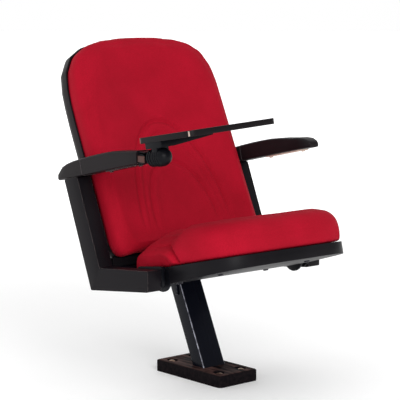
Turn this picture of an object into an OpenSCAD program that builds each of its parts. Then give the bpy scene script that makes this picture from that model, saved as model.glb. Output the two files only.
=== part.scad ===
// Tip-up auditorium seat on one leaning leg, with a folding writing tablet.
// Origin: centre of the base's underside, on the floor. The sitter faces -Y,
// the tablet is on the sitter's right at -X, and +Z is up.

/* [Base] */
// Width of the base, across the seat
base_w = 135; // [115:1:160]
// Length of the base, front to back
base_d = 262; // [244:1:320]
// Height of the base
base_h = 31; // [28:1:40]
// Draft of each side of the base, foot to top
base_draft = 3.7; // [2:0.1:6]
// Radius of the base's upright corners
base_corner_r = 12; // [8:1:18]
// Bevel along the base's upper edge
base_bevel = 2.5; // [1:0.1:4]
// Wall of the hollow base casting
base_wall = 6; // [5:0.5:8]
// Distance between floor bolts, across the seat
bolt_pitch_x = 76; // [68:1:84]
// Distance between floor bolts, front to back
bolt_pitch_y = 192; // [180:1:196]
// Radius of a floor bolt hole
bolt_hole_r = 5.5; // [4:0.5:7]
// Radius of the round pocket over a floor bolt
pocket_r = 13; // [11:0.5:14]
// Depth of the pocket over a floor bolt
pocket_depth = 10; // [6:1:14]

/* [Leg and beam] */
// Width of the leg tube, across the seat
leg_w = 76; // [60:1:90]
// Thickness of the leg tube, square to its slope
leg_t = 43; // [34:1:50]
// Wall of the leg tube
leg_wall = 3; // [2:0.5:5]
// Corner radius of the leg tube
leg_corner_r = 5; // [4:0.5:8]
// Lean of the leg from upright, in degrees
leg_lean = 24.4; // [20:0.1:27]
// Place of the leg's centre at the base's top, front to back
leg_foot_y = -11; // [-20:1:0]
// Depth of the cross beam, front to back
beam_d = 38; // [34:1:42]
// Height of the cross beam
beam_h = 50; // [44:1:54]
// Wall of the cross beam
beam_wall = 3; // [2:0.5:5]
// Height of the cross beam's underside above the floor
beam_z = 259; // [252:1:264]
// Thickness of the plate at each end of the cross beam
flange_t = 6; // [4:0.5:8]

/* [Arm supports] */
// Half of the overall width over the arm supports
arm_outer_x = 299; // [296:1:310]
// Thickness of an arm support, across the seat
arm_t = 43; // [36:1:46]
// Lean of the upright of an arm support, in degrees
arm_lean = 22; // [19:0.1:25]
// Depth of the upright, front to back
upright_d = 56; // [50:1:62]
// Place of the lower rear corner, front to back
arm_rear_y = 107; // [100:1:114]
// Height of the lower rear corner
arm_rear_z = 252; // [248:1:256]
// Place of the front end of the lower arm
arm_front_y = -124; // [-132:1:-120]
// Height of the lower arm's front end
arm_front_h = 53; // [46:1:56]
// Height of the lower arm's root
arm_root_h = 62; // [56:1:64]
// Rise of the lower arm's underside, in degrees
arm_rise = 6.6; // [4:0.1:8]
// Corner radius of an arm support
arm_corner_r = 5; // [3:0.5:8]

/* [Armrests] */
// Length of an armrest
rest_len = 370; // [360:1:384]
// Width of an armrest
rest_w = 50; // [46:1:54]
// Thickness of an armrest at its middle
rest_t = 46; // [40:1:50]
// Rise of an armrest's underside, in degrees
rest_rise = 12; // [10:0.1:14]
// Place of an armrest's rear tip
rest_rear_y = 248; // [240:1:256]
// Height of an armrest's rear tip, at its underside
rest_rear_z = 523; // [515:1:531]
// Radius of an armrest's long edges
rest_edge_r = 7; // [4:0.5:9]
// Length of the strip under an armrest
strip_len = 138; // [120:1:150]
// Width of the strip under an armrest
strip_w = 30; // [24:1:36]
// Thickness of the strip under an armrest
strip_t = 3; // [2:0.5:4]

/* [Back] */
// Gap between the back's side and an arm support
back_side_gap = 6; // [4:0.5:14]
// Height of the back along its slope
back_h = 596; // [570:1:640]
// Lean of the back from upright, in degrees
back_lean = 24; // [22:0.1:26]
// Place of the back's lower edge, front to back
back_foot_y = 87; // [84:1:92]
// Height of the back's lower edge
back_foot_z = 333; // [328:1:340]
// Forward curl of the back's top
back_curl = 12; // [6:1:18]
// Depth of the back shell's rim
shell_d = 34; // [30:1:40]
// Wall of the back shell
shell_wall = 4; // [3:0.5:5]
// Thickness of the plywood in back and seat
board_t = 12; // [9:1:15]
// Thickness of the back cushion at its edge
back_edge_t = 40; // [30:1:42]
// Rise of the back cushion from its edge to its bolsters
back_crown = 14; // [8:1:16]
// Depth of the sewn channels
channel_depth = 6; // [4:0.5:8]

/* [Seat] */
// Gap between the seat's side and an arm support
seat_side_gap = 19; // [17:0.5:21]
// Length of the seat, front to back
seat_len = 372; // [350:1:380]
// Place of the seat's tipping axis, front to back
pivot_y = -95; // [-99:1:-91]
// Height of the seat's tipping axis
pivot_z = 303; // [300:1:306]
// How far the seat's front corners are drawn in
seat_front_taper = 28; // [16:1:36]
// Slope of the seat, in degrees
seat_rise = 13.2; // [11:0.1:15]
// Distance of the seat's rear edge behind the tipping axis
seat_rear = 131; // [122:1:134]
// Height of the pan's rim over the tipping axis
rim_h = 25; // [24:0.5:28]
// Depth of the seat pan at the hinge
pan_depth = 43; // [40:1:46]
// Wall of the seat pan
pan_wall = 3; // [2:0.5:4]
// Thickness of the seat cushion at its edge
seat_edge_t = 54; // [44:1:58]
// Rise of the seat cushion from its edge to its bolsters
seat_crown = 36; // [26:1:38]
// Radius of the tipping pin
pin_r = 8; // [6:0.5:9]
// Thickness of a hinge plate
hinge_t = 5; // [4:0.5:6]
// Angle that the seat tips up by, in degrees
tip_angle = 75; // [60:1:78]
// Radius on which the stop pin sits
stop_path_r = 24; // [23:0.5:26]
// Radius of the stop pin
stop_r = 3.5; // [2.5:0.5:4]

/* [Tablet] */
// Width of the tablet, across the seat
tablet_w = 290; // [260:1:296]
// Depth of the tablet, front to back
tablet_d = 200; // [190:1:212]
// Thickness of the tablet
tablet_t = 15; // [12:1:18]
// Corner radius of the tablet
tablet_corner_r = 22; // [12:1:40]
// Rise of the tablet toward the front, in degrees
tablet_rise = 9.2; // [6:0.1:12]
// Rise of the tablet toward the sitter, in degrees
tablet_cant = 3.4; // [0:0.1:5]
// Place of the tablet's swing axis, front to back
swing_y = -100; // [-102:1:-98]
// Height of the tablet's swing axis
swing_z = 606; // [604:1:608]
// Radius of the ribbed barrel
barrel_r = 22; // [20:0.5:23]
// Length of the ribbed barrel
barrel_len = 60; // [58:1:66]
// Height of the tablet's underside over the barrel's axis
tablet_lift = 38; // [36:0.5:42]

/* [Fits] */
// Gap between pieces that are seated on each other
seat_gap = 0.3; // [0.2:0.05:0.5]
// Radial clearance of a turning pin
run_gap = 0.05; // [0.03:0.01:0.09]
// Gap beside moving hinge parts
side_gap = 1; // [0.6:0.1:1.5]

/* [Hidden] */

$fn = 48;
// One overrun for every cut
over = 1;
arm_inner_x = arm_outer_x - arm_t;
rest_x = arm_outer_x - arm_t / 2;
back_half_w = arm_inner_x - back_side_gap;
seat_half_w = arm_inner_x - seat_side_gap;
beam_top = beam_z + beam_h;
beam_y = leg_foot_y + (beam_z - base_h) * tan(leg_lean);

// Points of a polygon with each corner replaced by a small arc
corner_steps = 4;
function unit(v) = v / norm(v);
function arc_corner(a, b, c, r) =
    let (u = unit(a - b), w = unit(c - b))
    let (half = acos(max(-1, min(1, u * w))) / 2)
    let (back = r / tan(half), centre = b + unit(u + w) * (r / sin(half)))
    let (p = b + u * back - centre, q = b + w * back - centre)
    let (start = atan2(p[1], p[0]), turn = atan2(p[0] * q[1] - p[1] * q[0], p * q))
    [for (i = [0:corner_steps]) let (t = start + turn * i / corner_steps) centre + r * [cos(t), sin(t)]];
function rounded(points, r) =
    let (n = len(points))
    [for (i = [0:n - 1]) each arc_corner(points[(i + n - 1) % n], points[i], points[(i + 1) % n], r)];

// Closed skin through rings of equally many points, with a pole point at each end
module skin(rings, first_pole, last_pole) {
    n = len(rings[0]);
    m = len(rings);
    pole_a = n * m;
    pole_b = n * m + 1;
    points = [for (ring = rings) each ring, first_pole, last_pole];
    sides = [for (k = [0:m - 2], i = [0:n - 1]) let (a = k * n + i, b = k * n + (i + 1) % n)
        each [[a, b, b + n], [a, b + n, a + n]]];
    caps = [for (i = [0:n - 1]) each [[pole_a, (i + 1) % n, i],
        [pole_b, (m - 1) * n + i, (m - 1) * n + (i + 1) % n]]];
    polyhedron(points = [for (row = points) row], faces = concat(sides, caps), convexity = 6);
}

// Extrusion along X of an outline given in Y and Z
module along_x(x0, x1) {
    translate([x0, 0, 0]) rotate([90, 0, 90]) linear_extrude(x1 - x0) children();
}

// Round bar along X
module bar_x(x0, x1, r) {
    translate([x0, 0, 0]) rotate([0, 90, 0]) cylinder(h = x1 - x0, r = r);
}

// Rectangle with rounded corners, centred
module round_rect(w, d, r) {
    polygon(rounded([[-w / 2, -d / 2], [w / 2, -d / 2], [w / 2, d / 2], [-w / 2, d / 2]], r));
}

// Copy of the child at -X for the left side, or at +X for the right side
module side(s) {
    if (s == "left") mirror([1, 0, 0]) children();
    else children();
}

// Base casting

// Drafted and bevelled block standing on the floor
module base_block(inset, top) {
    w = base_w / 2 - inset;
    d = base_d / 2 - inset;
    intersection() {
        linear_extrude(top) round_rect(2 * w, 2 * d, base_corner_r);
        rotate([90, 0, 0]) linear_extrude(base_d, center = true) draft_profile(w, top);
        rotate([90, 0, 90]) linear_extrude(base_w, center = true) draft_profile(d, top);
    }
}
module draft_profile(half, top) {
    slope = base_draft / base_h;
    low = top - base_bevel;
    polygon([[-half, 0], [half, 0], [half - low * slope, low], [half - top * slope - base_bevel, top],
        [-half + top * slope + base_bevel, top], [-half + low * slope, low]]);
}
// Long round-ended post, drawn toward the leg from each floor bolt
module at_bolts() {
    for (sx = [-1, 1], sy = [-1, 1]) translate([sx * bolt_pitch_x / 2, sy * bolt_pitch_y / 2, 0])
        scale([1, -sy, 1]) children();
}
pocket_stretch = pocket_r / 2;
module pocket_post(r, z0, z1) {
    translate([0, 0, z0]) {
        cylinder(h = z1 - z0, r = r);
        translate([0, pocket_stretch, 0]) cylinder(h = z1 - z0, r = r);
        translate([-r, 0, 0]) cube([2 * r, pocket_stretch, z1 - z0]);
    }
}
rib_t = 4;
rib_places_share = [-0.28, 0.28];
module base_foot() {
    color("#1b1714") difference() {
        union() {
            difference() {
                base_block(0, base_h);
                translate([0, 0, -over]) base_block(base_wall, base_h - base_wall + over);
            }
            intersection() {
                base_block(0, base_h - base_wall / 2);
                union() {
                    at_bolts() pocket_post(pocket_r + rib_t, 0, base_h);
                    translate([-rib_t / 2, -base_d / 2, 0]) cube([rib_t, base_d, base_h]);
                    for (s = rib_places_share) translate([-base_w / 2, s * base_d - rib_t / 2, 0])
                        cube([base_w, rib_t, base_h]);
                }
            }
        }
        at_bolts() {
            pocket_post(pocket_r, base_h - pocket_depth, base_h + over);
            translate([0, 0, -over]) cylinder(h = base_h + 2 * over, r = bolt_hole_r);
        }
    }
}

// Leg and cross beam

module leg_post() {
    reach = beam_z - base_h;
    color("#14161d") intersection() {
        translate([0, leg_foot_y, base_h]) rotate([-leg_lean, 0, 0]) translate([0, 0, -leg_t])
            linear_extrude(reach / cos(leg_lean) + 2 * leg_t) difference() {
                round_rect(leg_w, leg_t, leg_corner_r);
                round_rect(leg_w - 2 * leg_wall, leg_t - 2 * leg_wall, leg_corner_r - leg_wall / 2);
            }
        translate([-leg_w, -reach, base_h]) cube([2 * leg_w, 3 * reach, reach]);
    }
}
gusset_t = 5;
gusset_drop = 46;
module leg_saddle() {
    drop_y = beam_y - gusset_drop * tan(leg_lean);
    for (s = ["left", "right"]) side(s) color("#14161d") along_x(leg_w / 2, leg_w / 2 + gusset_t)
        polygon([[beam_y - beam_d / 2, beam_z], [drop_y - gusset_t, beam_z - gusset_drop],
            [drop_y + gusset_t, beam_z - gusset_drop], [beam_y + beam_d / 2, beam_z]]);
}
beam_end = arm_inner_x - flange_t;
module cross_beam() {
    color("#14161d") translate([0, beam_y, beam_z + beam_h / 2]) rotate([90, 0, 90])
        linear_extrude(2 * beam_end, center = true) difference() {
            round_rect(beam_d, beam_h, leg_corner_r);
            round_rect(beam_d - 2 * beam_wall, beam_h - 2 * beam_wall, leg_corner_r - beam_wall / 2);
        }
}
flange_lip = 3;
flange_bolt_r = 4.5;
module beam_flange(s) {
    front = beam_y - beam_d / 2 - flange_lip;
    rear = beam_y + beam_d / 2;
    color("#14161d") side(s) difference() {
        along_x(beam_end, arm_inner_x) polygon(rounded([[front, beam_z - flange_lip / 2],
            [rear - flange_lip / 2, beam_z - flange_lip / 2], [rear + flange_lip, beam_top + 2 * flange_lip],
            [front, beam_top + 2 * flange_lip]], flange_lip));
        for (dz = [-1, 1]) translate([0, beam_y, beam_z + beam_h / 2 + dz * beam_h / 4])
            bar_x(beam_end - over, arm_inner_x + over, flange_bolt_r);
    }
}

// Arm supports

// Height of an armrest's underside at a place y
function rest_under(y) = rest_rear_z + (rest_rear_y - y) * tan(rest_rise);
// Where a line that starts at (y0, arm_rear_z) and leans by arm_lean meets the armrest
function rest_meet(y0) =
    let (tl = tan(arm_lean), tr = tan(rest_rise))
    let (z = (rest_rear_z + (rest_rear_y - y0 + arm_rear_z * tl) * tr) / (1 + tl * tr))
    [y0 + (z - arm_rear_z) * tl, z];
upright_y = arm_rear_y - upright_d / cos(arm_lean);
arm_front_z = arm_rear_z + (arm_rear_y - arm_front_y) * tan(arm_rise);
arm_outline = [[arm_rear_y, arm_rear_z], rest_meet(arm_rear_y), rest_meet(upright_y),
    [upright_y + arm_root_h * tan(arm_lean), arm_rear_z + arm_root_h],
    [arm_front_y, arm_front_z + arm_front_h], [arm_front_y, arm_front_z]];
pin_seat = 15;
module arm_support(s) {
    color("#2e2b2e") side(s) difference() {
        along_x(arm_inner_x, arm_outer_x) polygon(rounded(arm_outline, arm_corner_r));
        translate([0, pivot_y, pivot_z]) bar_x(arm_inner_x - over, arm_inner_x + pin_seat, pin_r + run_gap);
    }
}

// Tipping hinge

housing_t = 9;
housing_fore = 31;
housing_aft = 63;
housing_below = 22;
housing_above_front = 36;
housing_above_rear = 24;
housing_r = 5;
boss_len = 15;
boss_r = 17;
head_t = 3;
head_r = 11;
housing_x = arm_inner_x - housing_t;
boss_x = housing_x - boss_len;
hinge_x = boss_x - side_gap - hinge_t;
stop_at = -40;
stop_y = pivot_y + stop_path_r * cos(stop_at);
stop_z = pivot_z + stop_path_r * sin(stop_at);
module pivot_housing(s) {
    color("#101118") side(s) difference() {
        union() {
            along_x(housing_x, arm_inner_x) polygon(rounded([
                [pivot_y - housing_fore, pivot_z - housing_below + housing_t],
                [pivot_y - housing_fore + housing_t, pivot_z - housing_below],
                [pivot_y + housing_aft, pivot_z - housing_below],
                [pivot_y + housing_aft, pivot_z + housing_above_rear],
                [pivot_y - housing_fore, pivot_z + housing_above_front]], housing_r));
            translate([0, pivot_y, pivot_z]) bar_x(boss_x, housing_x + over, boss_r);
        }
        translate([0, pivot_y, pivot_z]) bar_x(boss_x - over, arm_inner_x + over, pin_r + run_gap);
        translate([0, stop_y, stop_z]) bar_x(boss_x - over, arm_inner_x + over, stop_r + run_gap);
    }
}
module pivot_pin(s) {
    color("#8a8c90") side(s) translate([0, pivot_y, pivot_z]) {
        bar_x(hinge_x - side_gap, arm_inner_x + pin_seat - seat_gap, pin_r);
        bar_x(hinge_x - side_gap - head_t, hinge_x - side_gap, head_r);
    }
}
module stop_pin(s) {
    color("#8a8c90") side(s) translate([0, stop_y, stop_z])
        bar_x(hinge_x - side_gap, arm_inner_x - run_gap, stop_r);
}

// Armrests

// The left armrest stops short of the tablet's swing pin
rest_cut_gap = 16;
rest_cut_y = swing_y + rest_cut_gap;
station_shares = [0, 0.02, 0.06, 0.12, 0.2, 0.3, 0.4, 0.5, 0.6, 0.7, 0.8, 0.88, 0.94, 0.98, 1];
thick_shares = [[0, 0.42], [0.03, 0.62], [0.06, 0.78], [0.14, 0.91], [0.24, 0.96], [0.4, 1], [0.55, 1],
    [0.65, 0.97], [0.8, 0.79], [0.91, 0.69], [0.965, 0.52], [1, 0.26]];
width_shares = [[0, 0.8], [0.06, 0.92], [0.24, 1], [0.84, 1], [0.94, 0.92], [0.98, 0.78], [1, 0.6]];
// One cross-section of an armrest, as a share of its length from the rear tip
function rest_ring(share) =
    let (y = rest_rear_y - share * rest_len, w = rest_w / 2 * lookup(share, width_shares))
    let (t = rest_t * lookup(share, thick_shares), r = min(rest_edge_r, t / 3), z = rest_under(y))
    [for (p = rounded([[-w, z], [w, z], [w, z + t], [-w, z + t]], r)) [rest_x + p[0], y, p[1]]];
function rest_pole(share) =
    let (y = rest_rear_y - share * rest_len)
    [rest_x, y, rest_under(y) + rest_t * lookup(share, thick_shares) / 2];
module armrest(s) {
    last = s == "left" ? (rest_rear_y - rest_cut_y) / rest_len : 1;
    color("#2c292b") side(s)
        skin([for (t = station_shares) rest_ring(t * last)], rest_pole(0), rest_pole(last));
}
strip_rear_y = 50;
strip_foot_r = 5;
strip_foot_h = 3;
module arm_strip(s) {
    len_y = s == "left" ? min(strip_len, strip_rear_y - rest_cut_y - strip_foot_r) : strip_len;
    color("#3a3c42") side(s) translate([rest_x, strip_rear_y, rest_under(strip_rear_y)])
        rotate([-rest_rise, 0, 0]) {
            translate([-strip_w / 2, -len_y, -strip_t]) cube([strip_w, len_y, strip_t]);
            for (y = [-strip_foot_r, strip_foot_r - len_y]) translate([0, y, -strip_t - strip_foot_h])
                cylinder(h = strip_foot_h + strip_t / 2, r = strip_foot_r);
        }
}

// Back

module back_frame() {
    translate([0, back_foot_y, back_foot_z]) rotate([-back_lean, 0, 0]) children();
}
side_shares = [0, 0.03, 0.06, 0.14, 0.24, 0.34, 0.44, 0.54, 0.63, 0.71, 0.78];
top_angles = [15:15:165];
foot_cells = 9;
foot_share = 0.06;
foot_in_share = 0.08;
// Half-width share of an arch at a share s of its height
function arch_w(s, p, q) = pow(1 - pow(s, p), 1 / q)
    * (s < foot_share ? 1 - foot_in_share * pow(1 - s / foot_share, 2) : 1);
// Closed arch: half-width w, foot at b, top at t, and two powers that shape its shoulders
function arch(w, b, t, p, q) =
    let (n = len(side_shares), x0 = w * arch_w(side_shares[n - 1], p, q), x1 = w * (1 - foot_in_share))
    concat([for (s = side_shares) [w * arch_w(s, p, q), b + s * (t - b)]],
        [for (a = top_angles) let (x = x0 * cos(a)) [x, b + (t - b) * pow(1 - pow(abs(x) / w, q), 1 / p)]],
        [for (i = [n - 1:-1:0]) let (s = side_shares[i]) [-w * arch_w(s, p, q), b + s * (t - b)]],
        [for (i = [1:foot_cells - 1]) [x1 * (2 * i / foot_cells - 1), b]]);
// Forward curl of the back toward its top
curl_from_share = 0.6;
function curl(v) = let (u = max(0, v / back_h - curl_from_share) / (1 - curl_from_share)) -back_curl * u * u;
function back_ring(outline, depth) = [for (p = outline) [p[0], depth + curl(p[1]), p[1]]];
// Powers of the back's outline, up its straight sides and over its round shoulders
outline_shares = [14, 2.7];
function back_outline(inset) = arch(back_half_w - inset, inset, back_h - inset,
    outline_shares[0], outline_shares[1]);
back_mid = back_h / 2;
shell_round = 9;
// How far the shell's rounded rear edge drops at its two middle rings, of its radius
shell_round_shares = [0.17, 0.9];
// The board's edge, inside the shell's rounding
board_rim = 3 * shell_round;
module back_shell() {
    d = shell_d;
    r = shell_round;
    color("#17171b") back_frame() skin([
        back_ring(back_outline(back_half_w / 2), d + shell_wall),
        back_ring(back_outline(board_rim), d + shell_wall),
        back_ring(back_outline(r), d + shell_wall - r * shell_round_shares[0]),
        back_ring(back_outline(r / 3), d - r / 2), back_ring(back_outline(0), d - 2 * r),
        back_ring(back_outline(0), 0), back_ring(back_outline(shell_wall), 0),
        back_ring(back_outline(shell_wall), d - 2 * r),
        back_ring(back_outline(shell_wall + r / 3), d - r * shell_round_shares[1]),
        back_ring(back_outline(shell_wall + r), d - r * shell_round_shares[0]),
        back_ring(back_outline(board_rim), d), back_ring(back_outline(back_half_w / 2), d)],
        [0, d + shell_wall, back_mid], [0, d, back_mid]);
}
// Room on each face of the curved board
board_gap = 0.7;
module back_board() {
    rear = shell_d - board_gap;
    o = [back_outline(board_rim), back_outline(back_half_w / 2)];
    color("#b08a58") back_frame() skin([back_ring(o[1], rear), back_ring(o[0], rear),
        back_ring(o[0], rear - board_t), back_ring(o[1], rear - board_t)],
        [0, rear, back_mid], [0, rear - board_t, back_mid]);
}
// Arches of the back cushion from its centre to its outline: level, half-width, foot, top, powers
arch_shares = [[0, 0.1, 0.2, 0.26, 2.2, 2], [0.36, 0.53, 0.07, 0.39, 2.2, 2],
    [0.62, 0.76, 0.03, 0.59, 1.6, 2],
    [1, 1, 0, 1, outline_shares[0], outline_shares[1]]];
function key(level, i) = lookup(level, [for (k = arch_shares) [k[0], k[i]]]);
function level_outline(level) = arch(back_half_w * key(level, 1), back_h * key(level, 2),
    back_h * key(level, 3), key(level, 4), key(level, 5));
back_level_shares = [0.99, 0.96, 0.92, 0.86, 0.78, 0.7, 0.65, 0.62, 0.59, 0.5, 0.42, 0.39, 0.36, 0.33,
    0.22, 0.1, 0];
crown_shares = [[0, 0.3], [0.3, 0.34], [0.45, 0.44], [0.62, 0.62], [0.74, 0.88], [0.84, 1], [0.9, 0.9],
    [0.96, 0.5], [0.99, 0.1]];
channel_level_shares = [0.36, 0.62];
channel_fade_shares = [[0, 0], [0.1, 0], [0.2, 1]];
// 1 on the rings that are drawn in by a channel, else 0
function in_channel(level) = len([for (c = channel_level_shares) if (abs(level - c) < 0.001) c]);
function back_front(level, v) =
    -back_edge_t - back_crown * lookup(level, crown_shares)
    + channel_depth * in_channel(level) * lookup(v / back_h, channel_fade_shares);
function back_top_ring(level) = [for (p = level_outline(level))
    [p[0], back_front(level, p[1]) + curl(p[1]), p[1]]];
module back_cushion() {
    rear = shell_d - board_t - 2 * board_gap;
    hole = 2 * shell_wall + seat_gap;
    edge = back_edge_t;
    color("#a31126") back_frame() skin(concat([
        back_ring(back_outline(back_half_w / 2), rear), back_ring(back_outline(board_rim), rear),
        back_ring(back_outline(hole), rear - hole),
        back_ring(back_outline(hole), -seat_gap), back_ring(back_outline(shell_wall), -seat_gap),
        back_ring(back_outline(shell_wall / 2), -edge / 3), back_ring(back_outline(0), -2 * edge / 3)],
        [for (level = back_level_shares) back_top_ring(level)]),
        [0, rear, back_mid],
        [0, back_front(0, back_mid), back_h * (arch_shares[0][2] + arch_shares[0][3]) / 2]);
}
strap_w = 40;
strap_t = 6;
strap_x = 110;
strap_len = 250;
// Point of the back's side view at depth w and height v, and the height v at a level z
function back_point(w, v) = [back_foot_y + v * sin(back_lean) + w * cos(back_lean),
    back_foot_z + v * cos(back_lean) - w * sin(back_lean)];
function back_v(w, z) = (z - back_foot_z + w * sin(back_lean)) / cos(back_lean);
module back_strap(s) {
    foot_y = beam_y - beam_d / 2 + flange_lip;
    w0 = shell_d + shell_wall + seat_gap;
    w1 = w0 + strap_t;
    foot_top = beam_top + strap_t;
    color("#14161d") side(s) difference() {
        along_x(strap_x - strap_w / 2, strap_x + strap_w / 2) polygon([[foot_y, beam_top],
            back_point(w1, back_v(w1, beam_top)), back_point(w1, strap_len), back_point(w0, strap_len),
            back_point(w0, back_v(w0, foot_top)), [foot_y, foot_top]]);
        translate([strap_x, beam_y, beam_top - over]) cylinder(h = strap_t + 2 * over, r = flange_bolt_r);
        back_frame() for (v = [strap_len / 2, strap_len - strap_w / 2])
            translate([strap_x, w0 - over, v]) rotate([-90, 0, 0])
                cylinder(h = strap_t + 2 * over, r = flange_bolt_r);
    }
}
apron_lip = 8;
// Filler on the beam that closes the gap under the shell, notched round both straps
module back_apron() {
    front = back_foot_y - apron_lip;
    rear = beam_y + beam_d / 2;
    half = arm_inner_x - flange_t - side_gap;
    under = back_foot_z - seat_gap;
    color("#17171b") difference() {
        along_x(-half, half) polygon([[front, beam_top + seat_gap], [rear, beam_top + seat_gap],
            [rear, under - (rear - back_foot_y) * tan(back_lean)], [back_foot_y, under], [front, under]]);
        for (s = ["left", "right"]) side(s)
            translate([strap_x - strap_w / 2 - seat_gap, front - over, beam_top])
                cube([strap_w + 2 * seat_gap, rear - front + 2 * over, strap_t + seat_gap]);
    }
}

// Seat

module seat_frame() {
    translate([0, pivot_y, pivot_z]) rotate([-seat_rise, 0, 0]) children();
}
seat_mid = seat_rear - seat_len / 2;
seat_steps = 48;
front_bow = 8;
corner_power_share = 6;
plate_reach = 105;
tab_w = 30;
function power(c, n) = sign(c) * pow(abs(c), 2 / n);
// Share of the half-width that the front corners are drawn in by, ahead of the hinge plates
function front_draw(y) =
    let (fore = max(0, -y - plate_reach) / (seat_len - seat_rear - plate_reach))
    seat_front_taper / seat_half_w * fore * fore;
// Closed seat outline, drawn in by inset, with corners of power n
function seat_outline(inset, n) = [for (i = [0:seat_steps - 1])
    let (a = 360 * (i + 0.5) / seat_steps, x = (seat_half_w - inset) * power(cos(a), n))
    let (y = (seat_len / 2 - inset) * power(sin(a), n), u = x / seat_half_w)
    [x * (1 - front_draw(seat_mid + y)), seat_mid + y - (y < 0 ? front_bow * (1 - u * u) : 0)]];
belly_rise = 18;
belly_front_rise = 13;
// Side view of the pan, under its rim
module pan_side(up) {
    low = rim_h - pan_depth + up;
    front = seat_mid - seat_len / 2 - front_bow - over;
    polygon([[front, rim_h + over], [front, low + belly_front_rise], [-pan_depth / 2, low],
        [seat_rear / 2, low], [seat_rear + over, low + belly_rise], [seat_rear + over, rim_h + over]]);
}
module pan_solid(inset, up) {
    intersection() {
        translate([0, 0, -pan_depth]) linear_extrude(pan_depth + rim_h + (up > 0 ? over : 0))
            polygon(seat_outline(inset, corner_power_share));
        along_x(-seat_half_w, seat_half_w) pan_side(up);
    }
}
board_z = rim_h - board_t;
pan_rib_pitch = 62;
rib_gap = 6;
rib_half = hinge_x - tab_w - rib_gap;
notch_x = hinge_x - head_t - 2 * side_gap;
notch_fore = 38;
notch_aft = 42;
module seat_pan() {
    color("#15151a") seat_frame() difference() {
        union() {
            difference() {
                pan_solid(0, 0);
                pan_solid(pan_wall, pan_wall);
            }
            intersection() {
                pan_solid(pan_wall / 2, pan_wall / 2);
                translate([0, 0, -pan_depth]) for (i = [-2:2]) {
                    translate([i * pan_rib_pitch - pan_wall / 2, seat_mid - seat_len / 2, 0])
                        cube([pan_wall, seat_len, pan_depth + board_z]);
                    translate([-rib_half, seat_mid + i * pan_rib_pitch - pan_wall / 2, 0])
                        cube([2 * rib_half, pan_wall, pan_depth + board_z]);
                }
            }
        }
        for (s = ["left", "right"]) side(s) translate([notch_x, -notch_fore, -2 * pan_depth])
            cube([seat_half_w, notch_fore + notch_aft, 4 * pan_depth]);
    }
}
seat_board_inset = seat_half_w - notch_x + side_gap;
module seat_board() {
    color("#b08a58") seat_frame() translate([0, 0, board_z]) linear_extrude(board_t)
        polygon(seat_outline(seat_board_inset, corner_power_share));
}
// Seat cushion rings: level from its centre, scale of its half-width and half-length, corner power
seat_ring_shares = [[0, 0.12, 2.2], [0.3, 0.32, 2.6], [0.6, 0.62, 3.4], [1, 1, 6]];
function seat_key(level, i) = lookup(level, [for (k = seat_ring_shares) [k[0], k[i]]]);
seat_level_shares = [0.985, 0.95, 0.9, 0.83, 0.75, 0.68, 0.64, 0.6, 0.56, 0.48, 0.36, 0.2, 0.08];
seat_crown_shares = [[0, 0.62], [0.4, 0.62], [0.6, 0.72], [0.72, 0.9], [0.82, 1], [0.9, 0.86], [0.95, 0.56],
    [0.985, 0.16]];
// Rake of the cushion's rear face, so that it passes under the back as the seat tips
rear_rake_share = 0.32;
function seat_ring(inset, h, n, size) = [for (p = seat_outline(0, n))
    let (k = size * (1 - inset / seat_half_w), aft = max(0, p[1] - seat_mid) / (seat_len / 2))
    [p[0] * k, seat_mid + (p[1] - seat_mid) * k - rear_rake_share * h * aft * size, rim_h + seat_gap + h]];
function seat_top_ring(level) =
    seat_ring(0, seat_edge_t + seat_crown * lookup(level, seat_crown_shares),
        seat_key(level, 2), seat_key(level, 1));
module seat_cushion() {
    e = seat_edge_t;
    color("#a31126") seat_frame() skin(concat([
        seat_ring(seat_half_w / 2, 0, corner_power_share, 1), seat_ring(pan_wall, 0, corner_power_share, 1),
        seat_ring(pan_wall / 3, e / 3, corner_power_share, 1), seat_ring(0, 2 * e / 3, corner_power_share, 1)],
        [for (level = seat_level_shares) seat_top_ring(level)]),
        [0, seat_mid, rim_h + seat_gap], [0, seat_mid, seat_top_ring(0)[0][2]]);
}
// Sector of a ring from angle a0 to a1, as a slot with round ends
module arc_slot(r, half, a0, a1, h) {
    rotate([0, 0, a0]) rotate_extrude(angle = a1 - a0) translate([r - half, 0]) square([2 * half, h]);
    for (a = [a0, a1]) rotate([0, 0, a]) translate([r, 0, 0]) cylinder(h = h, r = half);
}
plate_lip = 7;
plate_low = 6;
tab_t = 3;
tab_len = 60;
slot_half = stop_r + side_gap / 2;
module hinge_plate(s) {
    plate_r = stop_path_r + stop_r + plate_lip;
    color("#26282e") seat_frame() side(s) {
        difference() {
            union() {
                intersection() {
                    bar_x(hinge_x, hinge_x + hinge_t, plate_r);
                    translate([0, -plate_r, -plate_r])
                        cube([arm_inner_x, 2 * plate_r, plate_r + rim_h - seat_gap]);
                }
                translate([hinge_x, -plate_reach, -plate_low])
                    cube([hinge_t, plate_reach, plate_low + board_z]);
            }
            bar_x(hinge_x - over, hinge_x + hinge_t + over, pin_r + run_gap);
            translate([hinge_x - over, 0, 0]) rotate([90, 0, 90])
                arc_slot(stop_path_r, slot_half, stop_at + seat_rise, stop_at + seat_rise + tip_angle,
                    hinge_t + 2 * over);
        }
        translate([hinge_x - tab_w, -plate_reach, board_z - tab_t])
            cube([tab_w + hinge_t / 2, tab_len, tab_t]);
    }
}

// Writing tablet

module tablet_frame() {
    translate([-rest_x, swing_y, swing_z]) rotate([-tablet_rise, 0, 0]) children();
}
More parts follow.
